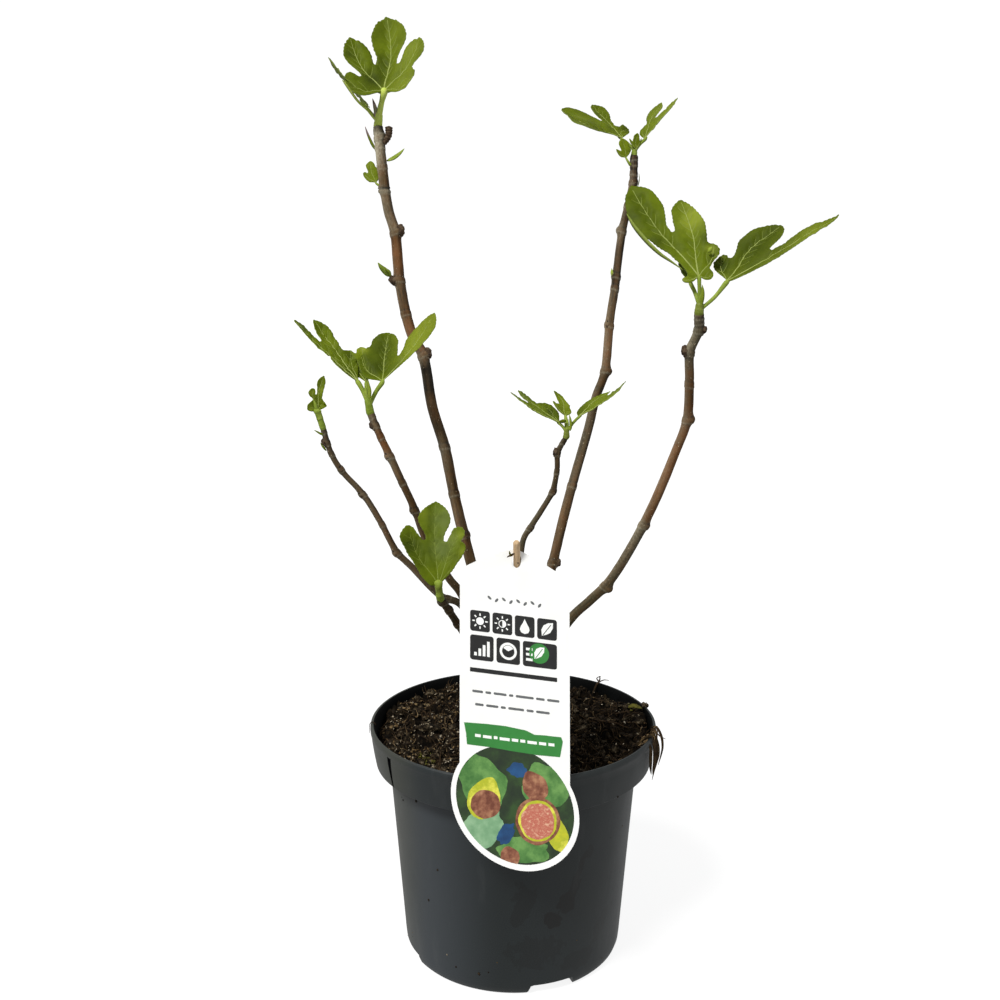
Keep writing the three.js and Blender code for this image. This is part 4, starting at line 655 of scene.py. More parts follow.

# ------------------------------------------------------------------ leaves
# where the blade meets its stalk, the midrib's way, the upper face's way, size, fold, cup and the middle lobe's place;
# each lobe [degrees off the midrib, reach, then half width and how far up it is widest, for its lower and its higher
# side, then how blunt its tip and how slow its foot is], each notch between lobes [degrees, reach],
# and painted light and shade on the blade [along, across, radius, paler as painted highlight, darker as painted shade,
# greyer as painted sheen]
LEAVES = {
    "a_front": dict(at=[-98.9, 68, 666.9], along=[0.005, 0.737, 0.676], face=[-0.102, -0.672, 0.733], size=81.2, fold=0.38, cup=0.22, tone="leaf_mid", mid=2,
        lobes=[[-81.4, 0.391, 0.204, 0.48, 0.083, 0.58], [-30.8, 0.689, 0.182, 0.45, 0.109, 0.42], [0.4, 0.927, 0.148, 0.54, 0.222, 0.5], [37.4, 0.628, 0.094, 0.55, 0.185, 0.43], [77.1, 0.353, 0.024, 0.08, 0.175, 0.46, 2.4]], notches=[[-62.6, 0.257], [-15.2, 0.348], [25.7, 0.33], [64.6, 0.34]],
        painted_light_and_shade=[[0.12, -0.12, 0.14, 0, 0.9, 0], [0.4, -0.33, 0.1, 0, 0.55, 0], [0.37, -0.02, 0.1, 0, 0.5, 0], [0.39, 0.29, 0.19, 0.55, 0, 0.1], [-0.04, 0.22, 0.2, 0.6, 0, 0], [0.73, 0.12, 0.13, 0.3, 0, 0], [0.79, -0.07, 0.09, 0, 0.25, 0], [-0.06, -0.3, 0.07, 0.1, 0.3, 0]]),
    "a_side": dict(at=[-117.5, 82, 661.7], along=[-0.68, 0.03, 0.73], face=[0.73, 0.01, 0.68], size=40.3, fold=0.02, cup=0.06, tone="leaf_deep", mid=2,
        lobes=[[-99, 0.54, 0.13, 0.5, 0.13, 0.5], [-42, 0.85, 0.17, 0.5, 0.18, 0.5], [0, 1.04, 0.2, 0.5, 0.2, 0.5], [51, 0.8, 0.18, 0.5, 0.17, 0.5], [90, 0.49, 0.13, 0.5, 0.13, 0.5]], notches=[[-72, 0.36], [-22, 0.47], [22, 0.47], [72, 0.36]],
        painted_light_and_shade=[]),
    "b_leaf": dict(at=[-137.4, -61, 438.2], along=[0.187, 0.168, 0.968], face=[0.05, -0.986, 0.161], size=25.2, fold=0.3, cup=-0.05, tone="leaf_mid", mid=2,
        lobes=[[-90.3, 0.298, 0.05, 0.59, 0.147, 0.9, 3], [-24.5, 0.652, 0.126, 0.49, 0.075, 0.42, 3], [0, 1, 0.157, 0.62, 0.074, 0.69, 1.7], [53.5, 0.309, 0.153, 0.08, 0.012, 0.52]], notches=[[-36.8, 0.331], [-15.4, 0.457], [13.1, 0.361]],
        painted_light_and_shade=[[0.45, -0.27, 0.11, 0.4, 0, 0], [0.59, 0.01, 0.09, 0.5, 0, 0], [0.24, -0.06, 0.17, 0, 0.4, 0], [0.04, -0.22, 0.08, 0.4, 0, 0]]),
    "c_left": dict(at=[-114.2, -12, 452.7], along=[-0.597, 0.494, 0.632], face=[0.35, -0.549, 0.759], size=64.1, fold=0.12, cup=0.08, tone="leaf_mid", mid=2,
        lobes=[[-16.4, 0.444, 0.038, 0.51, 0.04, 0.08, 2.4, 0.8], [-15.5, 1.058, 0.024, 0.59, 0.064, 0.53], [-0.2, 0.995, 0.071, 0.42, 0.108, 0.55, 2.6], [21.2, 0.471, 0.075, 0.08, 0.043, 0.58]], notches=[[-11.6, 0.479], [-7.7, 0.691], [12.6, 0.478]],
        painted_light_and_shade=[[0.91, -0.25, 0.1, 0, 0.3, 0.3], [0.62, 0, 0.1, 0.25, 0, 0], [0.15, -0.09, 0.11, 0, 0.8, 0], [0.39, 0.14, 0.07, 0, 0.6, 0]]),
    "c_right": dict(at=[-96.2, -15, 453.7], along=[0.072, 0.758, 0.648], face=[-0.23, -0.62, 0.75], size=47.1, fold=0.3, cup=0.1, tone="leaf_mid", mid=1,
        lobes=[[-39.3, 0.627, 0.184, 0.31, 0.073, 0.92, 2.4], [0.2, 0.988, 0.26, 0.23, 0.215, 0.41, 2.4], [44.6, 1.301, 0.203, 0.39, 0.247, 0.8, 2.4]], notches=[[-24.7, 0.719], [30.3, 0.494]],
        painted_light_and_shade=[[0.66, -0.07, 0.32, 0, 0.75, 0], [0.24, -0.14, 0.17, 0, 0.6, 0], [0.77, 0.71, 0.43, 0.75, 0, 0], [0.4, 0.51, 0.24, 0.5, 0, 0], [0.58, -0.33, 0.06, 0.6, 0, 0]]),
    "c_mid": dict(at=[-108.7, -9, 452.3], along=[-0.151, 0.659, 0.737], face=[-0.1, -0.752, 0.652], size=32.5, fold=0.2, cup=0.05, tone="leaf_light", mid=1,
        lobes=[[-23.1, 0.966, 0.143, 0.44, 0.129, 0.68], [0, 0.997, 0.13, 0.3, 0.127, 0.39, 2.4], [23.8, 0.609, 0.092, 0.08, 0.07, 0.49]], notches=[[-10.9, 0.837], [11.1, 0.72]],
        painted_light_and_shade=[[0.96, 0.04, 0.14, 0.8, 0, 0], [0.33, -0.16, 0.19, 0, 0.7, 0], [0.72, -0.31, 0.14, 0, 0.6, 0]]),
    "d_left": dict(at=[33.1, -35, 425.4], along=[-0.863, 0.063, 0.501], face=[0.451, -0.35, 0.821], size=42.8, fold=0.1, cup=0.02, tone="leaf_mid", mid=0,
        lobes=[[-0, 1, 0.124, 0.51, 0.012, 0.27, 1.6, 0.7], [12.4, 0.922, 0.086, 0.08, 0.066, 0.38], [30.1, 0.514, 0.116, 0.08, 0.16, 0.52, 3]], notches=[[3.4, 0.624], [20.2, 0.536]],
        painted_light_and_shade=[[0.94, -0.01, 0.12, 0, 0, 0.9], [0.78, 0.11, 0.12, 0, 0.2, 0.7], [0.23, 0.15, 0.14, 0, 0.6, 0.1], [0.38, -0.07, 0.11, 0.2, 0, 0.2]]),
    "d_right": dict(at=[46.4, -35, 430.2], along=[0.853, 0.029, 0.52], face=[-0.489, -0.3, 0.819], size=42.6, fold=0.05, cup=0.1, tone="leaf_mid", mid=1,
        lobes=[[-8.9, 0.696, 0.196, 0.34, 0.038, 0.5, 2.4, 0.4], [0.4, 1, 0.012, 0.17, 0.093, 0.59, 1.6, 0.7]], notches=[[-2.8, 0.613]],
        painted_light_and_shade=[[0.44, -0.04, 0.34, 0.3, 0, 0], [0.1, -0.1, 0.15, 0, 0.5, 0], [0.9, -0, 0.23, 0.1, 0, 0.7]]),
    "d_mid": dict(at=[37.2, -31, 430.4], along=[-0.441, 0.268, 0.857], face=[0.302, -0.855, 0.422], size=20.6, fold=0.3, cup=0.05, tone="leaf_light", mid=1,
        lobes=[[-19.9, 0.716, 0.078, 0.44, 0.059, 0.52], [-0, 1, 0.012, 0.36, 0.229, 0.36], [72.3, 0.288, 0.159, 0.08, 0.057, 0.67, 3]], notches=[[1.4, 0.479], [48.3, 0.429]],
        painted_light_and_shade=[[0.37, 0.17, 0.21, 0.4, 0, 0], [0.86, 0.04, 0.14, 0, 0.4, 0], [0.25, -0.11, 0.16, 0, 0.3, 0]]),
    "e_left": dict(at=[87.2, 105, 636.2], along=[-0.88, 0.141, 0.453], face=[0.35, -0.451, 0.821], size=54.1, fold=0.15, cup=-0.03, tone="leaf_deep", mid=0,
        lobes=[[-0, 1.002, 0.514, 0.61, 0.148, 0.65, 1.8, 1.25], [38, 0.861, 0.127, 0.46, 0.147, 0.71, 2.4], [91.9, 0.348, 0.128, 0.92, 0.028, 0.53, 3]], notches=[[23.4, 0.439], [56.1, 0.29]],
        painted_light_and_shade=[[0.46, 0.29, 0.12, 0, 0.3, 0], [0.67, -0.07, 0.1, 0.3, 0, 0.1], [0.05, 0.29, 0.09, 0, 0.7, 0], [0.19, 0.09, 0.09, 0, 0.4, 0]]),
    "e_right": dict(at=[106, 105, 635.8], along=[0.607, 0.102, 0.788], face=[-0.72, -0.35, 0.6], size=42.2, fold=0.1, cup=-0.04, tone="leaf_mid", mid=2,
        lobes=[[-66.7, 0.371, 0.039, 0.61, 0.043, 0.92, 3], [-26, 0.932, 0.243, 0.51, 0.111, 0.46, 2.2], [0.1, 1.003, 0.075, 0.56, 0.093, 0.51, 1.8]], notches=[[-49.9, 0.402], [-16.8, 0.498]],
        painted_light_and_shade=[[0.52, -0.39, 0.33, 0.2, 0, 0], [0.8, 0, 0.48, 0.5, 0, 0.2]]),
    "e_tiny": dict(at=[98.8, 103, 627.5], along=[0.075, 0.12, 0.99], face=[0.205, -0.973, 0.102], size=13.3, fold=0.23, cup=0.02, tone="leaf_light", mid=1,
        lobes=[[-43, 0.807, 0.076, 0.59, 0.053, 0.59], [-0, 1, 0.245, 0.43, 0.135, 0.41, 2.4], [21.7, 0.751, 0.051, 0.62, 0.049, 0.55]], notches=[[-32.9, 0.562], [17.5, 0.602]],
        painted_light_and_shade=[]),
    "e_small": dict(at=[90.4, 98, 620.9], along=[-0.189, 0.025, 0.982], face=[0.404, -0.909, 0.101], size=15.5, fold=-0.05, cup=-0.07, tone="leaf_light", mid=1,
        lobes=[[-42, 0.709, 0.159, 0.43, 0.039, 0.67], [-0, 1, 0.269, 0.51, 0.305, 0.26, 3], [47.7, 0.537, 0.128, 0.08, 0.021, 0.53, 3]], notches=[[-29, 0.454], [32.3, 0.59]],
        painted_light_and_shade=[]),
    "a_small": dict(at=[-106.3, 66, 599.7], along=[-0.235, 0.176, 0.956], face=[0.102, -0.973, 0.205], size=18, fold=-0.1, cup=-0.1, tone="leaf_light", mid=1,
        lobes=[[-39.5, 0.698, 0.141, 0.43, 0.102, 0.8, 3], [-0, 0.998, 0.251, 0.56, 0.136, 0.33, 2.6], [34.2, 0.43, 0.117, 0.08, 0.057, 0.5]], notches=[[-25.3, 0.56], [19.4, 0.647]],
        painted_light_and_shade=[]),
    "f_left": dict(at=[121.1, -88, 530.1], along=[-0.144, 0.53, 0.835], face=[-0.124, -0.847, 0.517], size=63.1, fold=0.05, cup=-0.05, tone="leaf_mid", mid=2,
        lobes=[[-91.5, 0.186, 0.049, 0.57, 0.03, 0.12, 3], [-20.5, 1.385, 0.239, 0.58, 0.163, 0.52, 3.4], [-0, 0.998, 0.126, 0.62, 0.189, 0.35, 1.8], [33.3, 0.423, 0.033, 0.08, 0.089, 0.65, 3], [87.9, 0.154, 0.032, 0.79, 0.064, 0.55, 3]], notches=[[-73.2, 0.13], [-14.9, 0.608], [26.9, 0.418], [67.2, 0.15]],
        painted_light_and_shade=[[0.91, -0.5, 0.22, 0, 0.5, 0], [0.49, -0.37, 0.13, 0, 0.7, 0], [0.69, 0.05, 0.13, 0.95, 0, 0.1], [0.76, 0.16, 0.1, 0.85, 0, 0.2], [0.9, 0.08, 0.08, 0.4, 0, 0], [0.43, 0.16, 0.06, 0, 0.55, 0], [0.3, 0.18, 0.05, 0.9, 0, 0.2], [0.16, 0.17, 0.05, 0, 0.5, 0], [0.2, -0.05, 0.08, 0.1, 0.2, 0], [0, -0.16, 0.05, 0.5, 0, 0]]),
    "f_back": dict(at=[116.9, -80, 526.4], along=[0.096, 0.791, 0.605], face=[-0.1, -0.597, 0.796], size=41.3, fold=0.3, cup=0.05, tone="leaf_mid", mid=1,
        lobes=[[-26.4, 0.469, 0.046, 0.4, 0.102, 0.92], [-0, 0.993, 0.105, 0.39, 0.117, 0.37], [23.1, 0.502, 0.083, 0.92, 0.042, 0.45]], notches=[[-10.8, 0.565], [10.1, 0.56]],
        painted_light_and_shade=[]),
    "f_right": dict(at=[139.7, -88, 527.2], along=[0.713, 0.3, 0.633], face=[-0.359, -0.619, 0.699], size=54.6, fold=0.1, cup=0.05, tone="leaf_deep", mid=1,
        lobes=[[-49, 0.421, 0.122, 0.61, 0.057, 0.52, 2.6], [0.1, 0.999, 0.278, 0.39, 0.143, 0.5, 2.8], [24.1, 1.501, 0.1, 0.53, 0.098, 0.59, 1.5, 0.35]], notches=[[-35.4, 0.349], [14.6, 0.643]],
        painted_light_and_shade=[[0.56, -0.05, 0.34, 0, 0.75, 0], [0.14, -0.21, 0.12, 0, 0.9, 0], [0.89, -0.02, 0.12, 0, 0.4, 0], [1.01, 0.53, 0.21, 0.6, 0, 0.1], [0.45, 0.3, 0.14, 0.25, 0, 0.1], [0.76, 0.38, 0.13, 0.15, 0, 0.1]]),
    "g_leaf": dict(at=[-54.4, -60, 312.2], along=[-0.045, 0.408, 0.912], face=[-0.051, -0.913, 0.406], size=61.8, fold=0.3, cup=-0.04, tone="leaf_mid", vein=0.62, mid=1,
        lobes=[[-26.1, 0.796, 0.153, 0.83, 0.062, 0.54, 3, 0.22], [0, 1, 0.213, 0.54, 0.18, 0.52, 2.1], [25.9, 0.73, 0.097, 0.54, 0.062, 0.38, 3.2], [40.5, 0.548, 0.025, 0.08, 0.038, 0.63, 3.4, 0.6]], notches=[[-15.8, 0.556], [12, 0.513], [33.5, 0.572]],
        painted_light_and_shade=[[0.48, -0.33, 0.15, 0, 0.8, 0], [0.24, -0.24, 0.1, 0, 0.5, 0], [0.77, 0.08, 0.14, 0.1, 0, 0.75], [0.43, 0.06, 0.14, 0.1, 0, 0.75], [0.54, 0.19, 0.08, 0.3, 0, 0.5], [0.3, 0.22, 0.1, 0.1, 0.35, 0], [0.84, -0.17, 0.08, 0.3, 0.1, 0], [0.57, 0.3, 0.05, 0.5, 0, 0.1], [0.36, 0.32, 0.05, 0.5, 0, 0]]),
    "a_back": dict(at=[-101.3, 84, 666.7], along=[-0.034, 0.801, 0.598], face=[-0.05, -0.599, 0.799], size=63.3, fold=0.25, cup=0.05, tone="leaf_deep", mid=1,
        lobes=[[-44.4, 0.35, 0.074, 0.4, 0.193, 0.92], [0, 0.988, 0.108, 0.41, 0.129, 0.39], [56.8, 0.324, 0.228, 0.92, 0.119, 0.48]], notches=[[-14.8, 0.446], [18.7, 0.417]],
        painted_light_and_shade=[]),
}


def polar(q):
    return np.array([q[1] * math.cos(math.radians(q[0])), q[1] * math.sin(math.radians(q[0]))])


def lobe_half(x, h0, w, m, foot, blunt, root):
    """A lobe's half width from its notch (x = 0) to its tip (x = 1), widest at m."""
    if x >= m:
        return w * (1 - ((x - m) / (1 - m)) ** blunt)
    if root:
        return w * math.sin(math.pi / 2 * x / m) ** foot
    if h0 < w:
        t = min(1.0, max(0.0, (x / m - 0.12) / 0.88))
        return h0 + (w - h0) * t * t * (3 - 2 * t)
    t = x / m
    return w + (h0 - w) * (1 - t * t * (3 - 2 * t))


def outline(leaf, per=30):
    """The blade's margin, in [along, across] over its size, with its lobes and round-bottomed notches."""
    out = [np.zeros(2)]
    last = len(leaf["lobes"]) - 1
    for i, lobe in enumerate(leaf["lobes"]):
        deg, reach = lobe[:2]
        blunt, foot = (lobe[6:] + [2.0, 1.6][len(lobe) - 6 :])[:2]
        a = polar([deg, 1.0])
        p = np.array([-a[1], a[0]])
        feet = [polar(leaf["notches"][i - 1]) if i > 0 else None, polar(leaf["notches"][i]) if i < last else None]

        def edge(k, x):
            w, m = lobe[2 + 2 * k : 4 + 2 * k]
            root = feet[k] is None
            s0, h0 = (0.0, 0.0) if root else (feet[k] @ a, abs(feet[k] @ p))
            h0 = max(0.01, h0 - min(1.3 / leaf["size"], 0.022))
            return a * (s0 + (reach - s0) * x) + p * (1 if k else -1) * lobe_half(x, h0, w, m, foot, blunt, root)

        xs = np.linspace(0, 1, per + 1)
        out += [edge(0, x) for x in xs[1 if i == 0 else 0 : -1]]
        out.append(a * reach)
        out += [edge(1, x) for x in xs[1 if i == last else 0 : -1][::-1]]
        if i < last:
            out.append(feet[1])
    P = resample(np.array(out), 0.012)[0]
    for _ in range(2):
        P = 0.25 * np.roll(P, 1, 0) + 0.5 * P + 0.25 * np.roll(P, -1, 0)
    return P


def resample(P, step, closed=True):
    Q = np.vstack([P, P[:1]]) if closed else P
    s = np.r_[0, np.cumsum(np.linalg.norm(np.diff(Q, axis=0), axis=1))]
    n = max(8, int(s[-1] / step))
    ss = np.linspace(0, s[-1], n, endpoint=not closed)
    return np.stack([np.interp(ss, s, Q[:, 0]), np.interp(ss, s, Q[:, 1])], 1), ss, s[-1]


def inside(P, q):
    x, y = q[:, 0:1], q[:, 1:2]
    x0, y0 = P[:, 0][None], P[:, 1][None]
    x1, y1 = np.roll(P[:, 0], -1)[None], np.roll(P[:, 1], -1)[None]
    hit = ((y0 > y) != (y1 > y)) & (x < (x1 - x0) * (y - y0) / (y1 - y0 + 1e-15) + x0)
    return hit.sum(1) % 2 == 1


def seg_dist(q, a, b):
    d = b - a
    t = np.clip(((q - a) @ d) / max(d @ d, 1e-12), 0, 1)
    return np.linalg.norm(q - (a + t[:, None] * d), axis=1)


def vein_lines(leaf, P, r):
    """Main veins to the lobe tips and side veins that curve towards the margin: [(points, order, width share)]."""
    mains, sides_ = [], []
    for i, lobe in enumerate(leaf["lobes"]):
        deg, reach = lobe[:2]
        a = polar([deg, 1.0])
        p = np.array([-a[1], a[0]])
        # the vein keeps to the middle of its lobe
        bow = 0.72 * (lobe[4] - lobe[2]) + r.uniform(-0.008, 0.008)
        t = np.linspace(0.0, 0.96, 22)
        line = a[None] * (t * reach)[:, None] + p[None] * (bow * np.sin(t * math.pi) * np.clip(t * 2.2, 0, 1))[:, None]
        line = line[inside(P, line * 0.999 + a[None] * 1e-4)]
        if len(line) < 22:
            line = resample(np.vstack([np.zeros(2), line]), 1.0, False)[0] if len(line) > 4 else a[None] * (t * reach * 0.5)[:, None]
            line = np.stack([np.interp(np.linspace(0, 1, 22), np.linspace(0, 1, len(line)), line[:, c]) for c in (0, 1)], 1)
        big = reach > 0.62
        mains.append((line, 0, 1.0 if i == leaf["mid"] else (0.9 if big else 0.6)))
        start = 0.2 if i == leaf["mid"] else 0.32
        count = 6 if i == leaf["mid"] else (5 if big else 2)
        for sgn in (-1, 1):
            shift = r.uniform(0.0, 0.5)
            for j in range(count):
                f = start + (0.9 - start) * (j + shift) / count + r.uniform(-0.01, 0.01)
                k = f * 22
                base = line[min(20, int(k))] * (1 - k % 1) + line[min(21, int(k) + 1)] * (k % 1)
                ang = math.radians(r.uniform(44, 58) - 8 * f) * sgn
                d = a * math.cos(ang) + p * math.sin(ang)
                pts = [base]
                q = base.copy()
                bend = r.uniform(0.035, 0.055)
                for step_ in range(44):
                    q = q + d * 0.0125
                    turn = -sgn * bend * (1 + 0.04 * step_)
                    d = np.array([d[0] * math.cos(turn) - d[1] * math.sin(turn), d[0] * math.sin(turn) + d[1] * math.cos(turn)])
                    if not inside(P, q[None])[0] or d @ a > 0.99:
                        break
                    pts.append(q.copy())
                if len(pts) > 5:
                    sides_.append((np.array(pts[: max(5, int(len(pts) * 0.94))]), 1, 1.0))
    return mains, sides_


def leaf_surface(leaf):
    m = unit(leaf["along"])
    n = np.array(leaf["face"], float)
    n = unit(n - m * (n @ m))
    l = np.cross(m, n)
    L, fold, cup = leaf["size"], leaf["fold"], leaf["cup"]
    base = np.array(leaf["at"], float)
    soft = 0.04

    def place(uv, w=0.0):
        u, v = uv[:, 0], uv[:, 1]
        av = np.sqrt(v * v + soft * soft) - soft
        h = av * math.sin(fold) + cup * (u * u + v * v) + w
        return base + L * (u[:, None] * m + (v * math.cos(fold))[:, None] * l + h[:, None] * n)

    return place


def leaf(leaves, veins, name, row, detail=1.0):
    r = random.Random(name)
    L = row["size"]
    step = max(0.011, 0.62 / L) / detail
    P = outline(row)
    Q, ss, total = resample(P, step)
    # small rounded teeth along the margin, none at the stalk
    pitch = max(0.05, 2.9 / L)
    count = max(8, int(total / pitch))
    phase = ss / total * count
    tan = np.roll(Q, -1, 0) - np.roll(Q, 1, 0)
    nor = np.stack([-tan[:, 1], tan[:, 0]], 1)
    nor /= np.linalg.norm(nor, axis=1)[:, None] + 1e-12
    area = 0.5 * np.sum(Q[:, 0] * np.roll(Q[:, 1], -1) - Q[:, 1] * np.roll(Q[:, 0], -1))
    nor *= -1 if area > 0 else 1
    frac = phase % 1.0
    tooth = np.sin(math.pi * frac) ** 0.8
    wob = np.array([noise.noise(Vector((x * 9.0, L, 0.5))) for x in ss])
    near = np.clip((np.linalg.norm(Q, axis=1) - 0.1) / 0.15, 0, 1)
    dn = np.min(np.stack([np.linalg.norm(Q - polar(x), axis=1) for x in row["notches"]]), 0)
    near *= np.clip(dn / 0.08, 0, 1)
    Q = Q + nor * (near * (0.0065 * tooth * (1 + 0.8 * wob) - 0.003 + 0.006 * wob))[:, None]
    # inner points
    gs = step * 1.55
    lo, hi = Q.min(0), Q.max(0)
    pts = []
    j = 0
    y = lo[1]
    while y < hi[1]:
        x = lo[0] + (gs / 2 if j % 2 else 0)
        while x < hi[0]:
            pts.append([x + r.uniform(-0.12, 0.12) * gs, y + r.uniform(-0.12, 0.12) * gs])
            x += gs
        y += gs * 0.87
        j += 1
    pts = np.array(pts)
    pts = pts[inside(Q, pts)]
    keep = np.ones(len(pts), bool)
    for c in range(0, len(pts), 400):
        d = np.linalg.norm(pts[c : c + 400, None] - Q[None], axis=2).min(1)
        keep[c : c + 400] = d > gs * 0.55
    pts = pts[keep]
    # the veins are edges of the blade's mesh, so that it dips along each of them
    mains, sides_ = vein_lines(row, Q, r)
    rib_pts, ribs = [], []
    for line, order, _ in mains + sides_:
        pl = line[1:] if order == 0 else line[1::2]
        gap = np.array([np.linalg.norm(Q - q, axis=1).min() for q in pl])
        pl = pl[gap > gs * 0.4]
        for k, q in enumerate(pl):
            if k:
                ribs.append((len(Q) + len(rib_pts) - 1, len(Q) + len(rib_pts)))
            rib_pts.append(q)
    rib_pts = np.array(rib_pts)
    for c in range(0, len(pts), 400):
        d = np.linalg.norm(pts[c : c + 400, None] - rib_pts[None], axis=2).min(1)
        keep2 = d > gs * 0.6
        pts[c : c + 400][~keep2] = np.nan
    pts = pts[~np.isnan(pts[:, 0])]
    allp = np.vstack([Q, rib_pts, pts])
    vs, es, fs, ov, oe, of = delaunay_2d_cdt([Vector(x) for x in allp], ribs, [list(range(len(Q)))], 1, 1e-6)
    uv = np.array([[v.x, v.y] for v in vs])
    tri = [tuple(f) for f in fs]
    place = leaf_surface(row)

    def relief(q):
        """How far the blade stands off its plain sheet: quilted between veins, and gently waved."""
        dm = np.full(len(q), 9.0)
        for line, _, _ in mains:
            for k in range(len(line) - 1):
                dm = np.minimum(dm, seg_dist(q, line[k], line[k + 1]))
        ds_ = np.full(len(q), 9.0)
        for line, _, _ in sides_:
            for k in range(0, len(line) - 1, 2):
                ds_ = np.minimum(ds_, seg_dist(q, line[k], line[min(k + 2, len(line) - 1)]))
        big = np.array([noise.noise(Vector((x * 3.1 + L, y * 3.1, 2.0))) for x, y in q])
        ruffle = np.array([noise.noise(Vector((x * 8.0 + L, y * 8.0, 5.0))) for x, y in q])
        far = np.clip((np.linalg.norm(q, axis=1) - 0.25) / 0.6, 0, 1)
        return 0.018 * (1 - np.exp(-((dm / 0.055) ** 2))) + 0.0145 * (1 - np.exp(-((ds_ / 0.028) ** 2))) + (0.034 * big + 0.012 * ruffle) * far

    C = place(uv, relief(uv))
    nv = len(C)
    # vertex normals
    tr = np.array(tri)
    fn = np.cross(C[tr[:, 1]] - C[tr[:, 0]], C[tr[:, 2]] - C[tr[:, 0]])
    vn = np.zeros_like(C)
    for k in range(3):
        np.add.at(vn, tr[:, k], fn)
    vn /= np.linalg.norm(vn, axis=1)[:, None] + 1e-12
    m = unit(row["along"])
    n = np.array(row["face"], float)
    n = unit(n - m * (n @ m))
    if (vn @ n).mean() < 0:
        tri = [t[::-1] for t in tri]
        vn = -vn
    th = 0.22
    top, bot = C + vn * th, C - vn * th
    tri_top = tri
    tri_bot = [tuple(nv + i for i in t[::-1]) for t in tri]
    # the margin is the edges used once
    seen = {}
    for t in tri:
        for k in range(3):
            e = (t[k], t[(k + 1) % 3])
            seen[e] = True
    wall = [(b, a_, a_ + nv, b + nv) for (a_, b) in seen if (b, a_) not in seen]
    off = leaves.n
    # painted light and shade on the blade's top: paler for painted highlights, darker for painted shade, greyer for
    # painted sheen
    soft = np.zeros((nv, 3))
    for u, v, rad_, pale, dark, grey in row["painted_light_and_shade"]:
        g = np.exp(-(((uv - np.array([u, v])) ** 2).sum(1)) / rad_**2)
        soft += g[:, None] * np.array([pale, dark, grey])
    leaves.add(np.vstack([top, bot]), tri_top, row["tone"], tone=np.vstack([soft, soft * 0.0]))
    # the underside shares the margin's vertices, so it goes in by hand
    if "leaf_under" not in leaves.mats:
        leaves.mats.append("leaf_under")
    k = leaves.mats.index("leaf_under")
    for f in tri_bot + wall:
        leaves.f.append(tuple(i + off for i in f))
        leaves.m.append(k)
    # veins, raised a little above and more below
    k0 = (L / 60) ** 0.5
    for line, order, share in mains + sides_:
        base_ = place(line, relief(line))
        t = np.linspace(0, 1, len(line))
        if order == 0:
            tube(veins, base_ + n * 0.14, (0.62 - 0.42 * t) * share * k0 * row.get("vein", 1.0), "vein" if row.get("vein", 1.0) > 0.8 else "vein_dim", 6, flat=(n, 0.75))
        else:
            tube(veins, base_ + n * 0.17, (0.33 - 0.19 * t) * k0 * row.get("vein", 1.0), "vein_dim", 5, flat=(n, 0.6))
            tube(veins, base_ - n * 0.18, (0.26 - 0.14 * t) * k0, "vein_dim", 5, flat=(n, 0.7))


# each mass: the bough, its shoot's top, and its leaves with the stalk's way [start share along the shoot, middle point or None, radius at foot, radius at blade]
MASSES = {
    "foliage_tall_left": dict(on="bough_tall_left", top=[-103.4, 73.5, 652.5], r=[3.3, 2.9], leaves=[["a_front", 0.6, None, 2.3, 2.0, 1.5], ["a_side", 0.35, [-110, 78.5, 652.5], 1.7, 1.3, 1.0], ["a_back", 0.6, None, 1.2, 1.0, 1.0]]),
    "foliage_far_left": dict(on="bough_far_left", top=[-137.6, -61.0, 438.5], r=[2.2, 2.3], leaves=[["b_leaf", 0.5, None, 2.2, 2.3, 1.4]]),
    "foliage_mid_left": dict(on="bough_mid_left", top=[-107.5, -15.0, 441.5], r=[3.0, 2.7], leaves=[["c_left", 0.6, None, 1.8, 1.7, 1.15], ["c_right", 0.5, None, 1.75, 1.6, 1.2], ["c_mid", 0.8, None, 1.7, 1.5, 1.15]]),
    "foliage_low_left": dict(on="shoot_low_left", top=[-54.4, -57.5, 305.0], r=[2.8, 2.7], leaves=[["g_leaf", 0.5, None, 2.7, 2.6, 1.35]]),
    "foliage_middle": dict(on="bough_middle", top=[38.2, -35.0, 422.0], r=[2.3, 1.9], leaves=[["d_left", 0.6, None, 1.15, 1.0, 1.1], ["d_right", 0.6, None, 1.15, 1.0, 1.1], ["d_mid", 0.9, None, 1.6, 1.3, 1.0]]),
    "foliage_tall_right": dict(on="bough_tall_right", top=[98.0, 105.0, 629.0], r=[2.5, 2.1], leaves=[["e_left", 0.7, None, 1.3, 1.1, 1.0], ["e_right", 0.7, None, 1.6, 1.35, 1.1], ["e_tiny", 0.9, None, 0.9, 0.8, 1.0]]),
    "foliage_right_inner": dict(on="bough_right", top=[122.3, -88.0, 513.5], r=[3.1, 2.8], leaves=[["f_left", 0.8, None, 1.35, 1.25, 1.2], ["f_back", 0.7, None, 1.45, 1.3, 1.1]]),
    "foliage_right_outer": dict(on=None, foot=[123.0, -88.0, 509.5], leaves=[["f_right", 0.0, [131.5, -88.5, 517.0], 1.25, 1.4, 1.3]]),
}
veins = Mesh()
stalks = Mesh()
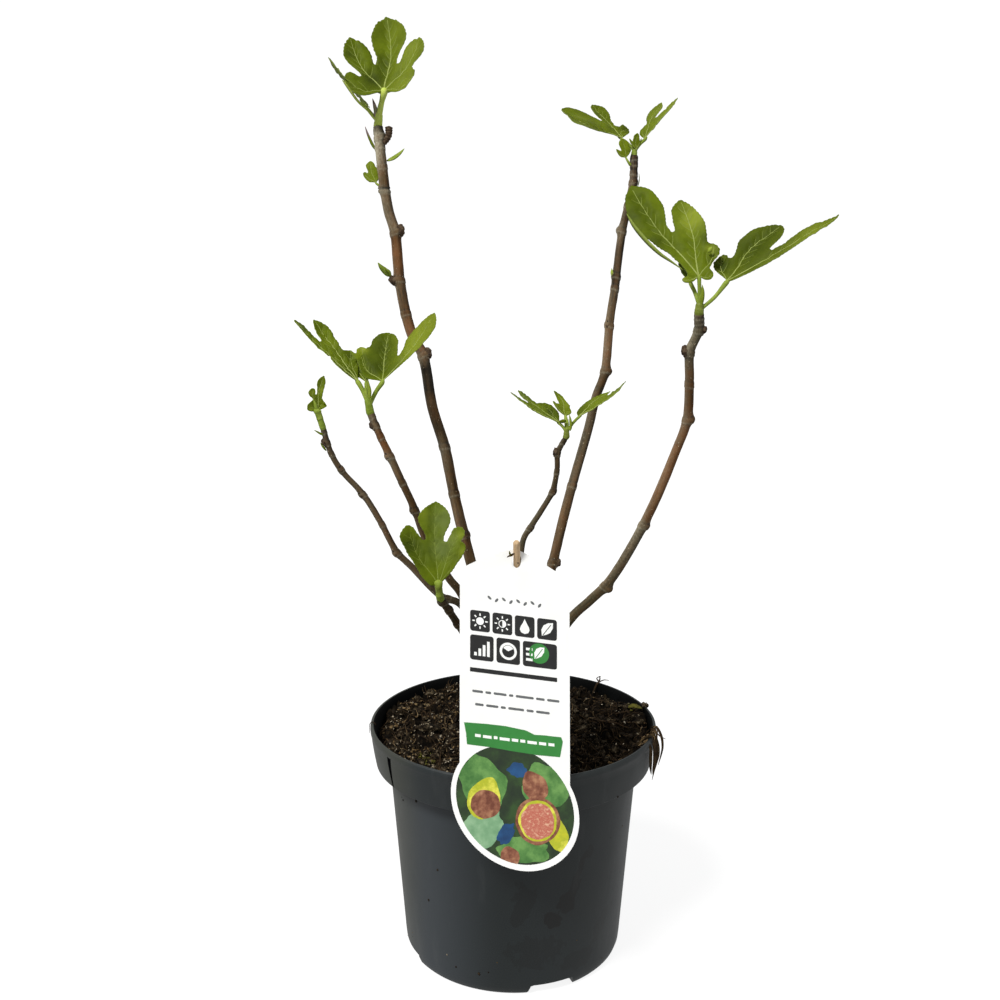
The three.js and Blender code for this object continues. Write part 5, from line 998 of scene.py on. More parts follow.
for node, row in MASSES.items():
    leaves = Mesh()
    if row["on"]:
        foot, t = tips[row["on"]]
        top = np.array(row["top"], float)
        P, s = smooth_path([foot - t * 0.8, foot + t * 0.8, (foot + top) / 2, top], 0.5)
        rr = np.interp(s / s[-1], [0, 0.2, 0.85, 1], [row["r"][0] * 0.98, row["r"][0], row["r"][1], row["r"][1] * 0.8])
        rr = rr + 0.22 * np.exp(-(((s - 1.6) / 0.5) ** 2)) + 0.18 * np.exp(-(((s - 3.4) / 0.5) ** 2))
        tube(stalks, P, rr, "stalk_lit" if node == "foliage_tall_left" else ("shoot_dark" if node in ("foliage_right_inner", "foliage_middle") else "shoot"), 14)
        # pointed end bud between the stalks
        d = unit(top - foot)
        lump(stalks, top + d * row["r"][1] * 1.5, [d * row["r"][1] * 2.4, np.cross(d, [0, 1, 0]) * row["r"][1] * 0.62, np.array([0, 1.0, 0]) * row["r"][1] * 0.62], "stalk", 9, 9, seed=3, rough=0.08, point=0.75)
    for name, share, mid, ra, rb, flare in row["leaves"]:
        lf = LEAVES[name]
        base = np.array(lf["at"], float)
        al = unit(lf["along"])
        start = (foot * (1 - share) + top * share) if row["on"] else np.array(row["foot"], float)
        into = base + al * lf["size"] * 0.06
        mid_p = np.array(mid, float) if mid is not None else start * 0.45 + base * 0.55 + np.array([0, 0, 0.06]) * np.linalg.norm(base - start)
        P, s = smooth_path([start, mid_p, base, into], 0.9)
        t = s / s[-1]
        rad = ra + (rb - ra) * np.clip(t * 1.2, 0, 1)
        rad = rad * np.interp(t, [0, 0.55, 0.86, 1], [1, 1, flare, 0.45]) + 0.25 * np.exp(-((s / 2.2) ** 2))
        tube(stalks, P, rad, "stalk_lit" if node == "foliage_tall_left" else "stalk", 10)
        leaf(leaves, veins, name, lf)
    leaves.build("leaves_" + node.replace("foliage_", ""), "foliage", [node])

# small side leaves further down the boughs
side_leaves = Mesh()
for name, foot in (("a_small", [-101.5, 66.0, 596.5]), ("e_small", [94.0, 98.5, 615.5])):
    lf = LEAVES[name]
    base = np.array(lf["at"], float)
    P, s = smooth_path([foot, (np.array(foot) + base) / 2 + [0, -0.5, -0.3], base, base + unit(lf["along"]) * 1.0], 0.5)
    tube(stalks, P, np.interp(s / s[-1], [0, 1], [1.2, 0.7]), "stalk", 8)
    leaf(side_leaves, veins, name, lf, 0.8)
side_leaves.build("side_leaves", "foliage")
veins.build("leaf_veins", "foliage")
stalks.build("leaf_stalks", "foliage")

def on_blade(name, px, py, lift=1.0):
    """The point of a leaf's plain sheet seen at a place in the picture, lifted a little towards the viewer."""
    row = LEAVES[name]
    p0, p1 = at(px, py, -300.0), at(px, py, 0.0)
    n_, b = unit(row["face"]), np.array(row["at"], float)
    d = np.array(p1, float) - p0
    return np.array(p0, float) + d * (((b - p0) @ n_) / (d @ n_)) - unit(d) * lift


# slivers, stipules and bud tufts at the nodes, each rooted in its bough
# the margin that turns over along the right-hand leaf's low lobe, and a small side bud under the middle leaves
sliver(green_bits, [on_blade("f_left", x, y, 2.5) for x, y in ((626.5, 213.5), (634, 226), (643, 237), (652, 246.5), (661, 254.5), (672, 262), (683, 270))], 3.0, "leaf_under", face=(-0.5, -0.8, -0.2))
lump(green_bits, np.array(at(562.5, 421.3, -37)), [np.array([2.6, 0, 0.2]), np.array([0, 1.0, 0]), np.array([-0.1, 0, 1.35])], "leaf_deep", 8, 10, seed=2, rough=0.2)
lump(green_bits, np.array(at(710, 250, -84)), [np.array([1.4, 0, 1.6]), np.array([0, 1.0, 0]), np.array([-0.9, 0, 1.2])], "leaf_pale", 6, 8, seed=2, rough=0.3)
sliver(green_bits, [at(386.5, 161, 72), at(394, 158, 69), at(400, 153.5, 66), at(404.5, 148.5, 64)], 3.6, "stalk", face=(0.05, -0.88, 0.47))
sliver(green_bits, [at(342, 79.5, 77), at(351, 91.5, 77), at(358, 101, 76), at(366, 109, 75.5), at(372.5, 116.5, 75)], 2.4, "stalk_lit", face=(-0.6, -0.75, -0.2))
sliver(green_bits, [at(375.5, 149, 74), at(371, 141, 72), at(367.5, 133, 70), at(365, 126, 69)], 2.7, "stipule", face=(-0.6, -0.8, 0))
sliver(green_bits, [at(376, 150.5, 73.4), at(372.6, 145, 72), at(369.6, 139, 71), at(368, 134.5, 70)], 2.2, "leaf_pale", face=(-0.6, -0.8, 0.2))
sliver(green_bits, [at(375, 120, 76), at(376, 112, 74), at(374.5, 105, 73), at(372.5, 98.5, 72)], 3.2, "stipule", face=(-0.2, -1, 0))
sliver(green_bits, [at(390, 276.5, 52), at(386, 272, 49), at(381.5, 267.5, 47), at(377.8, 262.5, 46)], 4.6, "stalk", face=(-0.3, -0.85, 0.4))
sliver(green_bits, [at(390.5, 277, 52), at(389, 272, 49), at(386.5, 269.5, 47.5), at(385, 267, 47)], 2.6, "leaf_pale", face=(-0.2, -0.9, 0.4))
sliver(green_bits, [at(637.2, 188, 97), at(638.6, 183, 96), at(639.2, 178.5, 95.5), at(639, 173.5, 95)], 1.3, "leaf_light", face=(0.8, -0.6, 0))
sliver(green_bits, [at(570.3, 431, -37), at(570.8, 425, -38), at(570.2, 419, -38.5), at(569.4, 414.5, -38.5)], 2.0, "leaf_pale", face=(0, -1, 0))
sliver(green_bits, [at(701.5, 306, -90), at(702.6, 298, -91), at(703, 291, -91), at(702, 284.5, -91)], 2.2, "leaf_pale", face=(0.3, -1, 0))
sliver(green_bits, [at(369.5, 399, -18), at(369.6, 391, -19), at(368.6, 385, -19.5), at(368, 379.5, -20)], 2.6, "leaf_pale", face=(0, -1, 0))
sliver(green_bits, [at(325, 435.5, -60), at(321.5, 434.2, -61), at(317.5, 432, -62), at(314.2, 430, -63)], 1.3, "leaf_light", face=(0, -1, 0.4))
sliver(green_bits, [at(326.5, 451, -58), at(324, 448, -60), at(322, 445.5, -60.5), at(320.5, 442.5, -61)], 1.2, "leaf_light", face=(0, -1, 0))
lump(green_bits, at(563, 421, -38), [np.array([1.9, 0, 0.3]), np.array([0, 1.2, 0]), np.array([-0.2, 0, 1.3])], "leaf_deep", 7, 9, seed=2, rough=0.15)
green_bits.build("bud_leaves", "foliage")

# ------------------------------------------------------------------ label
HANG = np.array([0.0, -79.0, 330.6])
LUP = np.array([0, 0.2377, 0.9713])
LOUT = np.array([0, -0.9713, 0.2377])


def card(x, s, lift=0.0):
    """A place on the card, x to the right and s down from its hole."""
    bow = 0.5 * math.sin((s + 20) / 230 * math.pi) - 0.35 * (x / 38.0) ** 2
    return HANG + np.array([x, 0, 0]) - LUP * s + LOUT * (0.35 + bow + lift)


def flat_piece(mesh, loop, mat, lift, thick, hole=None, grid=7.0):
    """A thin closed plate on the card. loop is in [x, s]."""
    full = []
    for k in range(len(loop)):
        a_, b = np.array(loop[k], float), np.array(loop[(k + 1) % len(loop)], float)
        parts = max(1, int(math.ceil(np.linalg.norm(b - a_) / 4.0)))
        full += [list(a_ + (b - a_) * j / parts) for j in range(parts)]
    loop = full
    pts = [Vector(p) for p in loop]
    xs, ys = [p[0] for p in loop], [p[1] for p in loop]
    if not grid and max(xs) - min(xs) > 9 and max(ys) - min(ys) > 5:
        grid = 4.0
    L0 = np.array(loop)
    inner = []
    if grid:
        x = min(xs) + grid / 2
        while x < max(xs):
            y = min(ys) + grid / 2
            while y < max(ys):
                q = np.array([[x, y]])
                if inside(L0, q)[0] and np.linalg.norm(L0 - q, axis=1).min() > grid * 0.3 and (hole is None or np.linalg.norm(np.array(hole) - q, axis=1).min() > 3 and not inside(np.array(hole), q)[0]):
                    inner.append([x, y])
                y += grid
            x += grid
    faces_in = [list(range(len(loop)))]
    n0 = len(loop)
    if hole is not None:
        pts += [Vector(p) for p in hole]
        faces_in.append(list(range(n0 + len(hole) - 1, n0 - 1, -1)))
    pts += [Vector(p) for p in inner]
    vs, es, fs, ov, oe, of = delaunay_2d_cdt(pts, [], faces_in, 1, 1e-6)
    uv = np.array([[v.x, v.y] for v in vs])
    tri = []
    for f in fs:
        c = uv[list(f)].mean(0)
        if hole is not None and inside(np.array(hole), c[None])[0]:
            continue
        a_, b, c_ = uv[f[0]], uv[f[1]], uv[f[2]]
        ar = (b[0] - a_[0]) * (c_[1] - a_[1]) - (b[1] - a_[1]) * (c_[0] - a_[0])
        tri.append(tuple(f) if ar < 0 else tuple(f[::-1]))
    top = [card(x, s, lift + thick) for x, s in uv]
    bot = [card(x, s, lift) for x, s in uv]
    nv = len(top)
    F = list(tri) + [tuple(nv + i for i in t[::-1]) for t in tri]
    seen = {(t[k], t[(k + 1) % 3]) for t in tri for k in range(3)}
    F += [(b, a_, a_ + nv, b + nv) for (a_, b) in seen if (b, a_) not in seen]
    mesh.add(np.array(top + bot), F, mat)


def ellipse(cx, cy, a_, b, turn, n=64, start=0.0, end=360.0):
    out = []
    for i in range(n):
        t = math.radians(start + (end - start) * i / (n if end - start >= 360 else n - 1))
        x, y = a_ * math.cos(t), b * math.sin(t)
        out.append([cx + x * math.cos(turn) - y * math.sin(turn), cy + x * math.sin(turn) + y * math.cos(turn)])
    return out


loop = []
for i in range(25):
    x = -38.2 + 76.6 * i / 24
    loop.append([x, 5.5 + 0.11 * x - 18.1 * (1 - abs(x / 38.3) ** 1.3)])
oval_a, oval_b, oval_c = 49.2, 39.5, (0.3, 166.0)
for i in range(200):
    deg = -88 + i * 356 / 200
    q = math.radians(deg) - math.radians(45)
    r_ = oval_a * oval_b / math.hypot(oval_b * math.cos(q), oval_a * math.sin(q))
    x, y = r_ * math.cos(math.radians(deg)), r_ * math.sin(math.radians(deg))
    if y < 0 and abs(x) < 38.3 - 0.3:
        continue
    loop.append([oval_c[0] + x, oval_c[1] + y])
hole = ellipse(1.5, -4.6, 3.1, 5.2, 0, 28)
m = Mesh()
flat_piece(m, loop, "label_card", -0.25, 0.5, hole=hole)
m.build("label_sheet", "label", ["plant_label"], sharp=40)

SL = math.radians(7.1)


def slant(x, s, cx=0.0):
    """A printed place: lines of print fall to the right."""
    return [x, s + (x - cx) * math.tan(SL)]


def slab(x0, s0, x1, s1, r_=1.2, n=4):
    """A rounded bar, in slanted print space."""
    out = []
    for cx, cy, a0 in ((x1 - r_, s0 + r_, -90), (x1 - r_, s1 - r_, 0), (x0 + r_, s1 - r_, 90), (x0 + r_, s0 + r_, 180)):
        for i in range(n + 1):
            t = math.radians(a0 + 90 * i / n)
            out.append(slant(cx + r_ * math.cos(t), cy + r_ * math.sin(t)))
    return out


ink = Mesh()
T1, T2 = 0.05, 0.05
TOP = 0.27
# a row of small grey seeds where the first line was
for i in range(8):
    cx = -17.5 + i * 5.0
    flat_piece(ink, [slant(*p) for p in ellipse(cx, 24.0 + (0.8 if i % 2 else -0.4), 1.7, 0.85, -0.9 if i % 2 else 0.7, 16)], "ink_grey", TOP, T1, grid=0)
# care tiles: sun, half sun, drop, leaf above; month wheel, growth bars, and short bars beside a green leaf disc below
tiles = [(-31, 33.5, -17.2, 48.0, "sun"), (-15.4, 33.5, -1.6, 48.0, "half"), (0.2, 33.5, 14.0, 48.0, "drop"), (15.8, 33.5, 29.6, 48.0, "leafy"),
         (-31, 50.6, -14.6, 68.0, "bars"), (-12.6, 50.6, 3.8, 68.0, "wheel"), (5.8, 50.6, 29.6, 68.0, "disc")]
for x0, s0, x1, s1, kind in tiles:
    cx, cy, h = (x0 + x1) / 2, (s0 + s1) / 2, (s1 - s0) / 2
    flat_piece(ink, slab(x0, s0, x1, s1, 1.8), "ink_black", TOP, T1, grid=0)
    up = TOP + T1

    def white(points, mat="ink_white", lift=0.0):
        flat_piece(ink, [slant(*p) for p in points], mat, up + lift, T2, grid=0)

    if kind in ("sun", "half"):
        white(ellipse(cx, cy, 2.7, 2.7, 0, 24))
        for k in range(8):
            t = k * math.pi / 4
            d, e = np.array([math.cos(t), math.sin(t)]), np.array([-math.sin(t), math.cos(t)])
            c = np.array([cx, cy])
            white([c + d * 3.7 - e * 0.5, c + d * 5.4 - e * 0.4, c + d * 5.4 + e * 0.4, c + d * 3.7 + e * 0.5])
        if kind == "half":
            white(ellipse(cx, cy, 2.1, 2.1, 0, 16, 90, 270), "ink_black", T2)
    elif kind == "drop":
        white([[cx, cy - 5.4], [cx + 1.3, cy - 2.6], [cx + 2.9, cy + 0.2], [cx + 3.4, cy + 2.2], [cx + 2.5, cy + 4.2], [cx, cy + 5.1], [cx - 2.5, cy + 4.2], [cx - 3.4, cy + 2.2], [cx - 2.9, cy + 0.2], [cx - 1.3, cy - 2.6]])
    elif kind == "leafy":
        white([[cx - 3.6, cy + 4.8], [cx - 4.0, cy + 0.6], [cx - 2.4, cy - 2.6], [cx + 0.8, cy - 4.4], [cx + 4.2, cy - 4.9], [cx + 4.0, cy - 1.2], [cx + 2.2, cy + 2.2], [cx - 0.6, cy + 3.8]])
        white([[cx - 3.2, cy + 4.2], [cx - 2.7, cy + 4.4], [cx + 3.0, cy - 3.4], [cx + 2.6, cy - 3.7]], "ink_black", T2)
    elif kind == "bars":
        for k in range(4):
            x = cx - 5.4 + k * 3.0
            white([[x, cy + 5.6], [x, cy + 3.2 - 2.7 * k], [x + 1.9, cy + 3.2 - 2.7 * k], [x + 1.9, cy + 5.6]])
    elif kind == "wheel":
        white(ellipse(cx, cy, 6.0, 6.0, 0, 36))
        white(ellipse(cx, cy, 4.3, 4.3, 0, 30), "ink_black", T2)
        white([[cx, cy]] + ellipse(cx, cy, 4.0, 4.0, 0, 12, -150, -30), "ink_white", 2 * T2)
    elif kind == "disc":
        for k in range(3):
            white([[x0 + 2.2, cy - 4.2 + k * 3.6], [x0 + 6.8, cy - 4.2 + k * 3.6], [x0 + 6.8, cy - 2.4 + k * 3.6], [x0 + 2.2, cy - 2.4 + k * 3.6]])
        white(ellipse(17.1, 58.2, 7.0, 7.0, 0, 40), "ink_green", 0.0)
        white([[14.0, 62.2], [13.7, 58.0], [15.2, 55.2], [17.8, 53.8], [20.9, 53.6], [20.6, 57.0], [18.8, 60.0], [16.4, 61.4]], "ink_white", T2)
        white([[14.3, 61.7], [14.8, 61.9], [19.7, 55.0], [19.3, 54.7]], "ink_green", 2 * T2)
flat_piece(ink, slab(-31.1, 73.5, 29.7, 76.5, 0.4), "ink_black", TOP, T1, grid=0)
# two lines of plain grey dashes
for s_line, runs in ((89.0, (7.5, 4.0, 9.0, 3.0, 12.5, 6.0, 8.5)), (98.0, (6.0, 8.5, 3.5, 11.0, 5.0, 9.5))):
    x = -29.5 if s_line < 90 else -27.5
    for wdt in runs:
        flat_piece(ink, slab(x, s_line - 0.1, x + wdt, s_line + 1.6, 0.7, 3), "ink_grey", TOP, T1, grid=0)
        x += wdt + 1.7
# ribbon with uneven ends
rib = [[-35.2, 107.9], [-20, 109.0], [-6, 110.6], [8, 113.6], [14, 116.6], [20, 116.9], [32.4, 118.3], [33.6, 121.4], [31.6, 132.1], [16, 130.6], [-2, 127.8], [-18, 125.0], [-33.1, 123.1], [-33.8, 115.5]]
flat_piece(ink, rib, "ink_green", TOP + 0.12, T1, grid=0)
x = -27.5
for wdt in (4.0, 6.0, 2.6, 7.0, 4.4, 3.4, 6.6, 5.0, 4.2):
    s_mid = 116.6 + (x + wdt / 2 + 27.5) * math.tan(SL)
    flat_piece(ink, [[x, s_mid - 1.0], [x + wdt, s_mid - 1.0 + wdt * 0.124], [x + wdt, s_mid + 1.0 + wdt * 0.124], [x, s_mid + 1.0]], "ink_white", TOP + 0.12 + T1, T1, grid=0)
    x += wdt + 1.5


# the oval picture: a halved fig, whole fruit and leaves of a plain design
def clip_oval(points, grow=0.0):
    """Keeps a shape inside the picture's oval."""
    out = []
    for x, s in points:
        dx, ds = x - 0.3, s - 165.2
        q = math.atan2(ds, dx) - math.radians(45)
        lim = 1.0 / math.hypot(math.cos(q) / (45.3 + grow), math.sin(q) / (36.3 + grow))
        d = math.hypot(dx, ds)
        if d > lim:
            dx, ds = dx * lim / d, ds * lim / d
        out.append([0.3 + dx, 165.2 + ds])
    return out


def blob(cx, cy, a_, b, turn, n=40, neck=0.0, wob=0.0, seed=1):
    """A fruit or leaf outline: an oval drawn to a neck at its upper end."""
    out = []
    for i in range(n):
        t = 2 * math.pi * i / n
        y = math.sin(t)
        w = 1 - neck * max(0.0, -y) ** 1.5
        k = 1 + wob * noise.noise(Vector((math.cos(t) * 2, math.sin(t) * 2, seed)))
        x_, y_ = a_ * math.cos(t) * w * k, b * y * k
        out.append([cx + x_ * math.cos(turn) - y_ * math.sin(turn), cy + x_ * math.sin(turn) + y_ * math.cos(turn)])
    return out


def pic(points, mat, level):
    P_ = np.array(clip_oval(points))
    keep = [P_[0]]
    for p_ in P_[1:]:
        if np.linalg.norm(p_ - keep[-1]) > 0.25:
            keep.append(p_)
    flat_piece(ink, keep, mat, TOP + 0.04 * level, 0.03, grid=0)


pic(ellipse(0.3, 165.2, 45.3, 36.3, math.radians(45), 90), "pic_dark", 0)
pic(blob(-22, 150, 15, 20, -0.5, wob=0.25, seed=2), "pic_leaf", 1)
pic(blob(22, 152, 17, 15, 0.4, wob=0.3, seed=5), "pic_leaf", 1.2)
pic(blob(-24, 183, 13, 17, 0.9, wob=0.3, seed=8), "pic_leaf_b", 1.1)
pic(blob(6, 196, 18, 9, 0.15, wob=0.35, seed=9), "pic_leaf", 1.3)
pic(blob(30, 186, 7, 12, -0.3, wob=0.2, seed=4), "pic_yellow", 1.5)
pic(blob(2, 141, 7, 5, 0.2, wob=0.3, seed=6), "pic_blue", 1.4)
pic(blob(-6, 185, 5, 8, 0.5, wob=0.3, seed=7), "pic_blue", 1.45)
pic(blob(-21, 160, 11.5, 15, 0.35, neck=0.45, wob=0.06, seed=3), "pic_yellow", 2)
pic(blob(-20.2, 164.5, 10.4, 9.8, 0.35, wob=0.06, seed=3), "pic_skin", 2.6)
pic(blob(16, 176, 15.5, 16.5, -0.2, wob=0.05, seed=11), "pic_skin", 3)
pic(blob(16, 176, 13.2, 14.2, -0.2, wob=0.07, seed=12), "pic_yellow", 3.8)
pic(blob(16, 176.4, 11.6, 12.4, -0.2, wob=0.1, seed=13), "pic_flesh", 4.6)
pic(blob(14, 152, 8.5, 11.5, -0.5, neck=0.4, wob=0.06, seed=14), "pic_skin", 2.3)
pic(blob(-3, 201, 8, 6.5, 1.2, neck=0.3, wob=0.08, seed=15), "pic_skin", 2.2)
ink.build("label_print", "label", sharp=40)

# ------------------------------------------------------------------ pot
DAMP = ((553, 920, 6.5, 7, 0.0, 0.95), (563, 906, 7.5, 8, 0.3, 0.95), (573, 892, 3.4, 9, 0.6, 0.8), (579, 872, 2.6, 17, 0.35, 0.75), (590, 852, 2.8, 6, 0.2, 0.6), (523, 900, 8.5, 15, 0.0, 0.55), (517, 918, 6, 9, 0.0, 0.5), (533, 952, 19, 14, 0.0, 0.4), (575, 960, 14, 8, 0.2, 0.4), (600, 925, 5, 12, 0.5, 0.35))


def on_pot(px, py, lift=0.0):
    """The place on the pot's outside, in mm, that is seen at a place in the picture, or the nearest to it."""
    p0, p1, best = at(px, py, -150), at(px, py, 40), None
    for t in np.linspace(0, 1, 900):
        q = p0 + (p1 - p0) * t
        gap = math.hypot(q[0], q[1]) - np.interp(q[2], [10, 155, 155.6, 186], [86.6, 97.7, 108.2, 112]) - lift
        if best is None or gap < best[0]:
            best = (gap, q)
        if gap <= 0:
            break
    return best[1]


PROFILE = [[0, 0], [26, 0], [27.2, 0.5], [28.5, 3.4], [29.6, 4], [72.6, 4], [73.4, 3.6], [74.2, 0.8], [74.9, 0], [81.2, 0], [82.6, 0.5], [84.6, 2.6], [86.0, 6.5], [86.6, 12], [92.5, 90], [97.2, 150], [97.6, 154.4], [98.6, 155.4],
           [107.2, 155.6], [108.2, 156.4], [108.6, 158.5], [109.9, 166], [111.2, 175], [111.6, 180.4], [112.2, 181.2], [112.4, 183.4], [112.0, 185.3], [111.0, 186.1], [109.9, 185.9], [109.2, 184.8], [108.6, 181.5], [106.8, 159.4], [106.0, 157.9], [104.4, 157.2],
           [97.6, 156.8], [96.4, 155.8], [90.9, 90], [85.1, 12], [84.2, 8.4], [82, 6.9], [78, 6.6], [0, 6.6]]
SEG = 180
rows = []
for i in range(len(PROFILE) - 1):
    (r0, z0), (r1, z1) = PROFILE[i], PROFILE[i + 1]
    d = math.hypot(r1 - r0, z1 - z0)
    k = max(1, int(d / 12))
    for j in range(k):
        rows.append([r0 + (r1 - r0) * j / k, z0 + (z1 - z0) * j / k])
rows.append(PROFILE[-1])
inner_rows = rows[1:-1]
V = [[0, 0, rows[0][1]], [0, 0, rows[-1][1]]]
for r_, z in inner_rows:
    for k in range(SEG):
        t = 2 * math.pi * k / SEG
        # a nursery pot is never quite round
        q = 1 + 0.0022 * math.sin(2 * t + 0.7) * (z / 186) + 0.0012 * math.sin(5 * t)
        V.append([r_ * q * math.sin(t), -r_ * q * math.cos(t), z])
F = []
nr = len(inner_rows)
for i in range(nr - 1):
    for k in range(SEG):
        j = (k + 1) % SEG
        F.append((2 + i * SEG + k, 2 + i * SEG + j, 2 + (i + 1) * SEG + j, 2 + (i + 1) * SEG + k))
for k in range(SEG):
    j = (k + 1) % SEG
    F.append((0, 2 + j, 2 + k))
    F.append((1, 2 + (nr - 1) * SEG + k, 2 + (nr - 1) * SEG + j))

pot_mat = bpy.data.materials.new("pot_plastic")
pot_mat.use_nodes = True
nt = pot_mat.node_tree
bsdf = nt.nodes["Principled BSDF"]
bsdf.inputs["Specular IOR Level"].default_value = 0.36
tc = nt.nodes.new("ShaderNodeTexCoord")


def tex_noise(scale, detail=3.0, stretch=None, shift=0.0, rough=0.55):
    mp = nt.nodes.new("ShaderNodeMapping")
    nt.links.new(tc.outputs["Object"], mp.inputs["Vector"])
    mp.inputs["Location"].default_value = (shift, shift * 0.6, -shift)
    if stretch:
        mp.inputs["Scale"].default_value = stretch
    t = nt.nodes.new("ShaderNodeTexNoise")
    t.inputs["Scale"].default_value = scale
    t.inputs["Detail"].default_value = detail
    t.inputs["Roughness"].default_value = rough
    nt.links.new(mp.outputs["Vector"], t.inputs["Vector"])
    return t.outputs["Fac"]


def ramp(fac, a_, b, c0=(0, 0, 0, 1), c1=(1, 1, 1, 1)):
    n_ = nt.nodes.new("ShaderNodeValToRGB")
    n_.color_ramp.elements[0].position, n_.color_ramp.elements[1].position = a_, b
    n_.color_ramp.elements[0].color, n_.color_ramp.elements[1].color = c0, c1
    nt.links.new(fac, n_.inputs["Fac"])
    return n_.outputs["Color"]


def mix(fac, a_, b):
    n_ = nt.nodes.new("ShaderNodeMix")
    n_.data_type = "RGBA"
    nt.links.new(fac, n_.inputs["Factor"])
    for sock, val in (("A", a_), ("B", b)):
        s_ = [x for x in n_.inputs if x.name == sock and x.type == "RGBA"][0]
        if isinstance(val, tuple):
            s_.default_value = val
        else:
            nt.links.new(val, s_)
    return [x for x in n_.outputs if x.type == "RGBA"][0]


def math_node(op, a_, b):
    n_ = nt.nodes.new("ShaderNodeMath")
    n_.operation = op
    for i_, val in enumerate((a_, b)):
        if isinstance(val, (int, float)):
            n_.inputs[i_].default_value = val
        else:
            nt.links.new(val, n_.inputs[i_])
    return n_.outputs[0]


sep = nt.nodes.new("ShaderNodeSeparateXYZ")
nt.links.new(tc.outputs["Object"], sep.inputs[0])
base_col = ramp(tex_noise(9.0, 2.0), 0.3, 0.7, rgb("121818"), rgb("191f20"))
# painted light: the left side below the collar, which faces the key light, is painted paler
lit_left_side = nt.nodes.new("ShaderNodeMapRange")
nt.links.new(sep.outputs["X"], lit_left_side.inputs["Value"])
lit_left_side.interpolation_type = "SMOOTHSTEP"
lit_left_side.inputs["From Min"].default_value, lit_left_side.inputs["From Max"].default_value = -0.004, -0.066
body = math_node("SUBTRACT", 1.0, math_node("MULTIPLY", math_node("GREATER_THAN", sep.outputs["Z"], 0.1558), 0.8))
base_col = mix(math_node("MULTIPLY", lit_left_side.outputs[0], body), base_col, rgb("31363a"))
# painted light: the far left edge, brightest under the key light, is painted a paler grey-green
warm = nt.nodes.new("ShaderNodeMapRange")
nt.links.new(sep.outputs["X"], warm.inputs["Value"])
warm.interpolation_type = "SMOOTHSTEP"
warm.inputs["From Min"].default_value, warm.inputs["From Max"].default_value = -0.064, -0.09
base_col = mix(math_node("MULTIPLY", warm.outputs[0], 0.75), base_col, rgb("36382f"))
# damp, darker patches low on the right: each is a place, two half sizes and a lean
blur = math_node("MULTIPLY", math_node("SUBTRACT", tex_noise(95.0, 4.0, (1, 1, 0.8), 2.3, 0.6), 0.5), 6.0)
damp = None
for px, py, half_x, half_z, lean, strength in DAMP:
    c_ = on_pot(px, py) * MM
    dx, dz = math_node("SUBTRACT", sep.outputs["X"], float(c_[0])), math_node("SUBTRACT", sep.outputs["Z"], float(c_[2]))
    dx = math_node("MULTIPLY", math_node("SUBTRACT", dx, math_node("MULTIPLY", dz, lean)), 1000.0 / half_x)
    dz = math_node("MULTIPLY", dz, 1000.0 / half_z)
    away = math_node("ADD", math_node("ADD", math_node("MULTIPLY", dx, dx), math_node("MULTIPLY", dz, dz)), blur)
    edge_ = nt.nodes.new("ShaderNodeMapRange")
    nt.links.new(away, edge_.inputs["Value"])
    for k_, v_ in (("From Min", 1.15), ("From Max", 0.9), ("To Min", 0.0), ("To Max", strength)):
        edge_.inputs[k_].default_value = v_
    damp = edge_.outputs[0] if damp is None else math_node("MAXIMUM", damp, edge_.outputs[0])
damp = math_node("MULTIPLY", damp, math_node("LESS_THAN", sep.outputs["Y"], 0.0))
col = mix(damp, base_col, rgb("060807"))
# pale dust in thin runs
dust = math_node("MULTIPLY", ramp(tex_noise(70.0, 5.0, (1, 1, 0.25), 4.0), 0.58, 0.78), 0.13)
col = mix(dust, col, rgb("5a5c5c"))
nt.links.new(col, bsdf.inputs["Base Color"])
rr_ = nt.nodes.new("ShaderNodeMapRange")
nt.links.new(tex_noise(40.0, 4.0, (1, 1, 0.5), 1.0), rr_.inputs["Value"])
rr_.inputs["To Min"].default_value, rr_.inputs["To Max"].default_value = 0.42, 0.6
nt.links.new(rr_.outputs[0], bsdf.inputs["Roughness"])
bn = nt.nodes.new("ShaderNodeBump")
bn.inputs["Strength"].default_value = 0.18
bn.inputs["Distance"].default_value = 0.0003
nt.links.new(tex_noise(900.0, 4.0), bn.inputs["Height"])
nt.links.new(bn.outputs["Normal"], bsdf.inputs["Normal"])
MAT["pot"] = pot_mat

me = bpy.data.meshes.new("pot_body")
me.from_pydata((np.array(V, float) * MM).tolist(), [], F)
me.materials.append(pot_mat)
pot = bpy.data.objects.new("pot_body", me)
bpy.context.scene.collection.objects.link(pot)


def cutter(sx, sy, sz, cx, cy, cz, turn, taper=1.0):
    """A block, in mm, narrower at its top by taper, turned about the pot's axis."""
    vs_ = []
    for z_, k_ in ((-0.5, 1.0), (0.5, taper)):
        for x_, y_ in ((-0.5, -0.5), (0.5, -0.5), (0.5, 0.5), (-0.5, 0.5)):
            vs_.append([x_ * sx * k_ + cx, y_ * sy + cy, z_ * sz + cz])
    c_, s_ = math.cos(turn), math.sin(turn)
    vs_ = [[x_ * c_ - y_ * s_, x_ * s_ + y_ * c_, z_] for x_, y_, z_ in vs_]
    fs_ = [(3, 2, 1, 0), (4, 5, 6, 7), (0, 1, 5, 4), (1, 2, 6, 5), (2, 3, 7, 6), (3, 0, 4, 7)]
    me_ = bpy.data.meshes.new("cut")
    me_.from_pydata((np.array(vs_) * MM).tolist(), [], fs_)
    o_ = bpy.data.objects.new("cut", me_)
    bpy.context.scene.collection.objects.link(o_)
    return o_


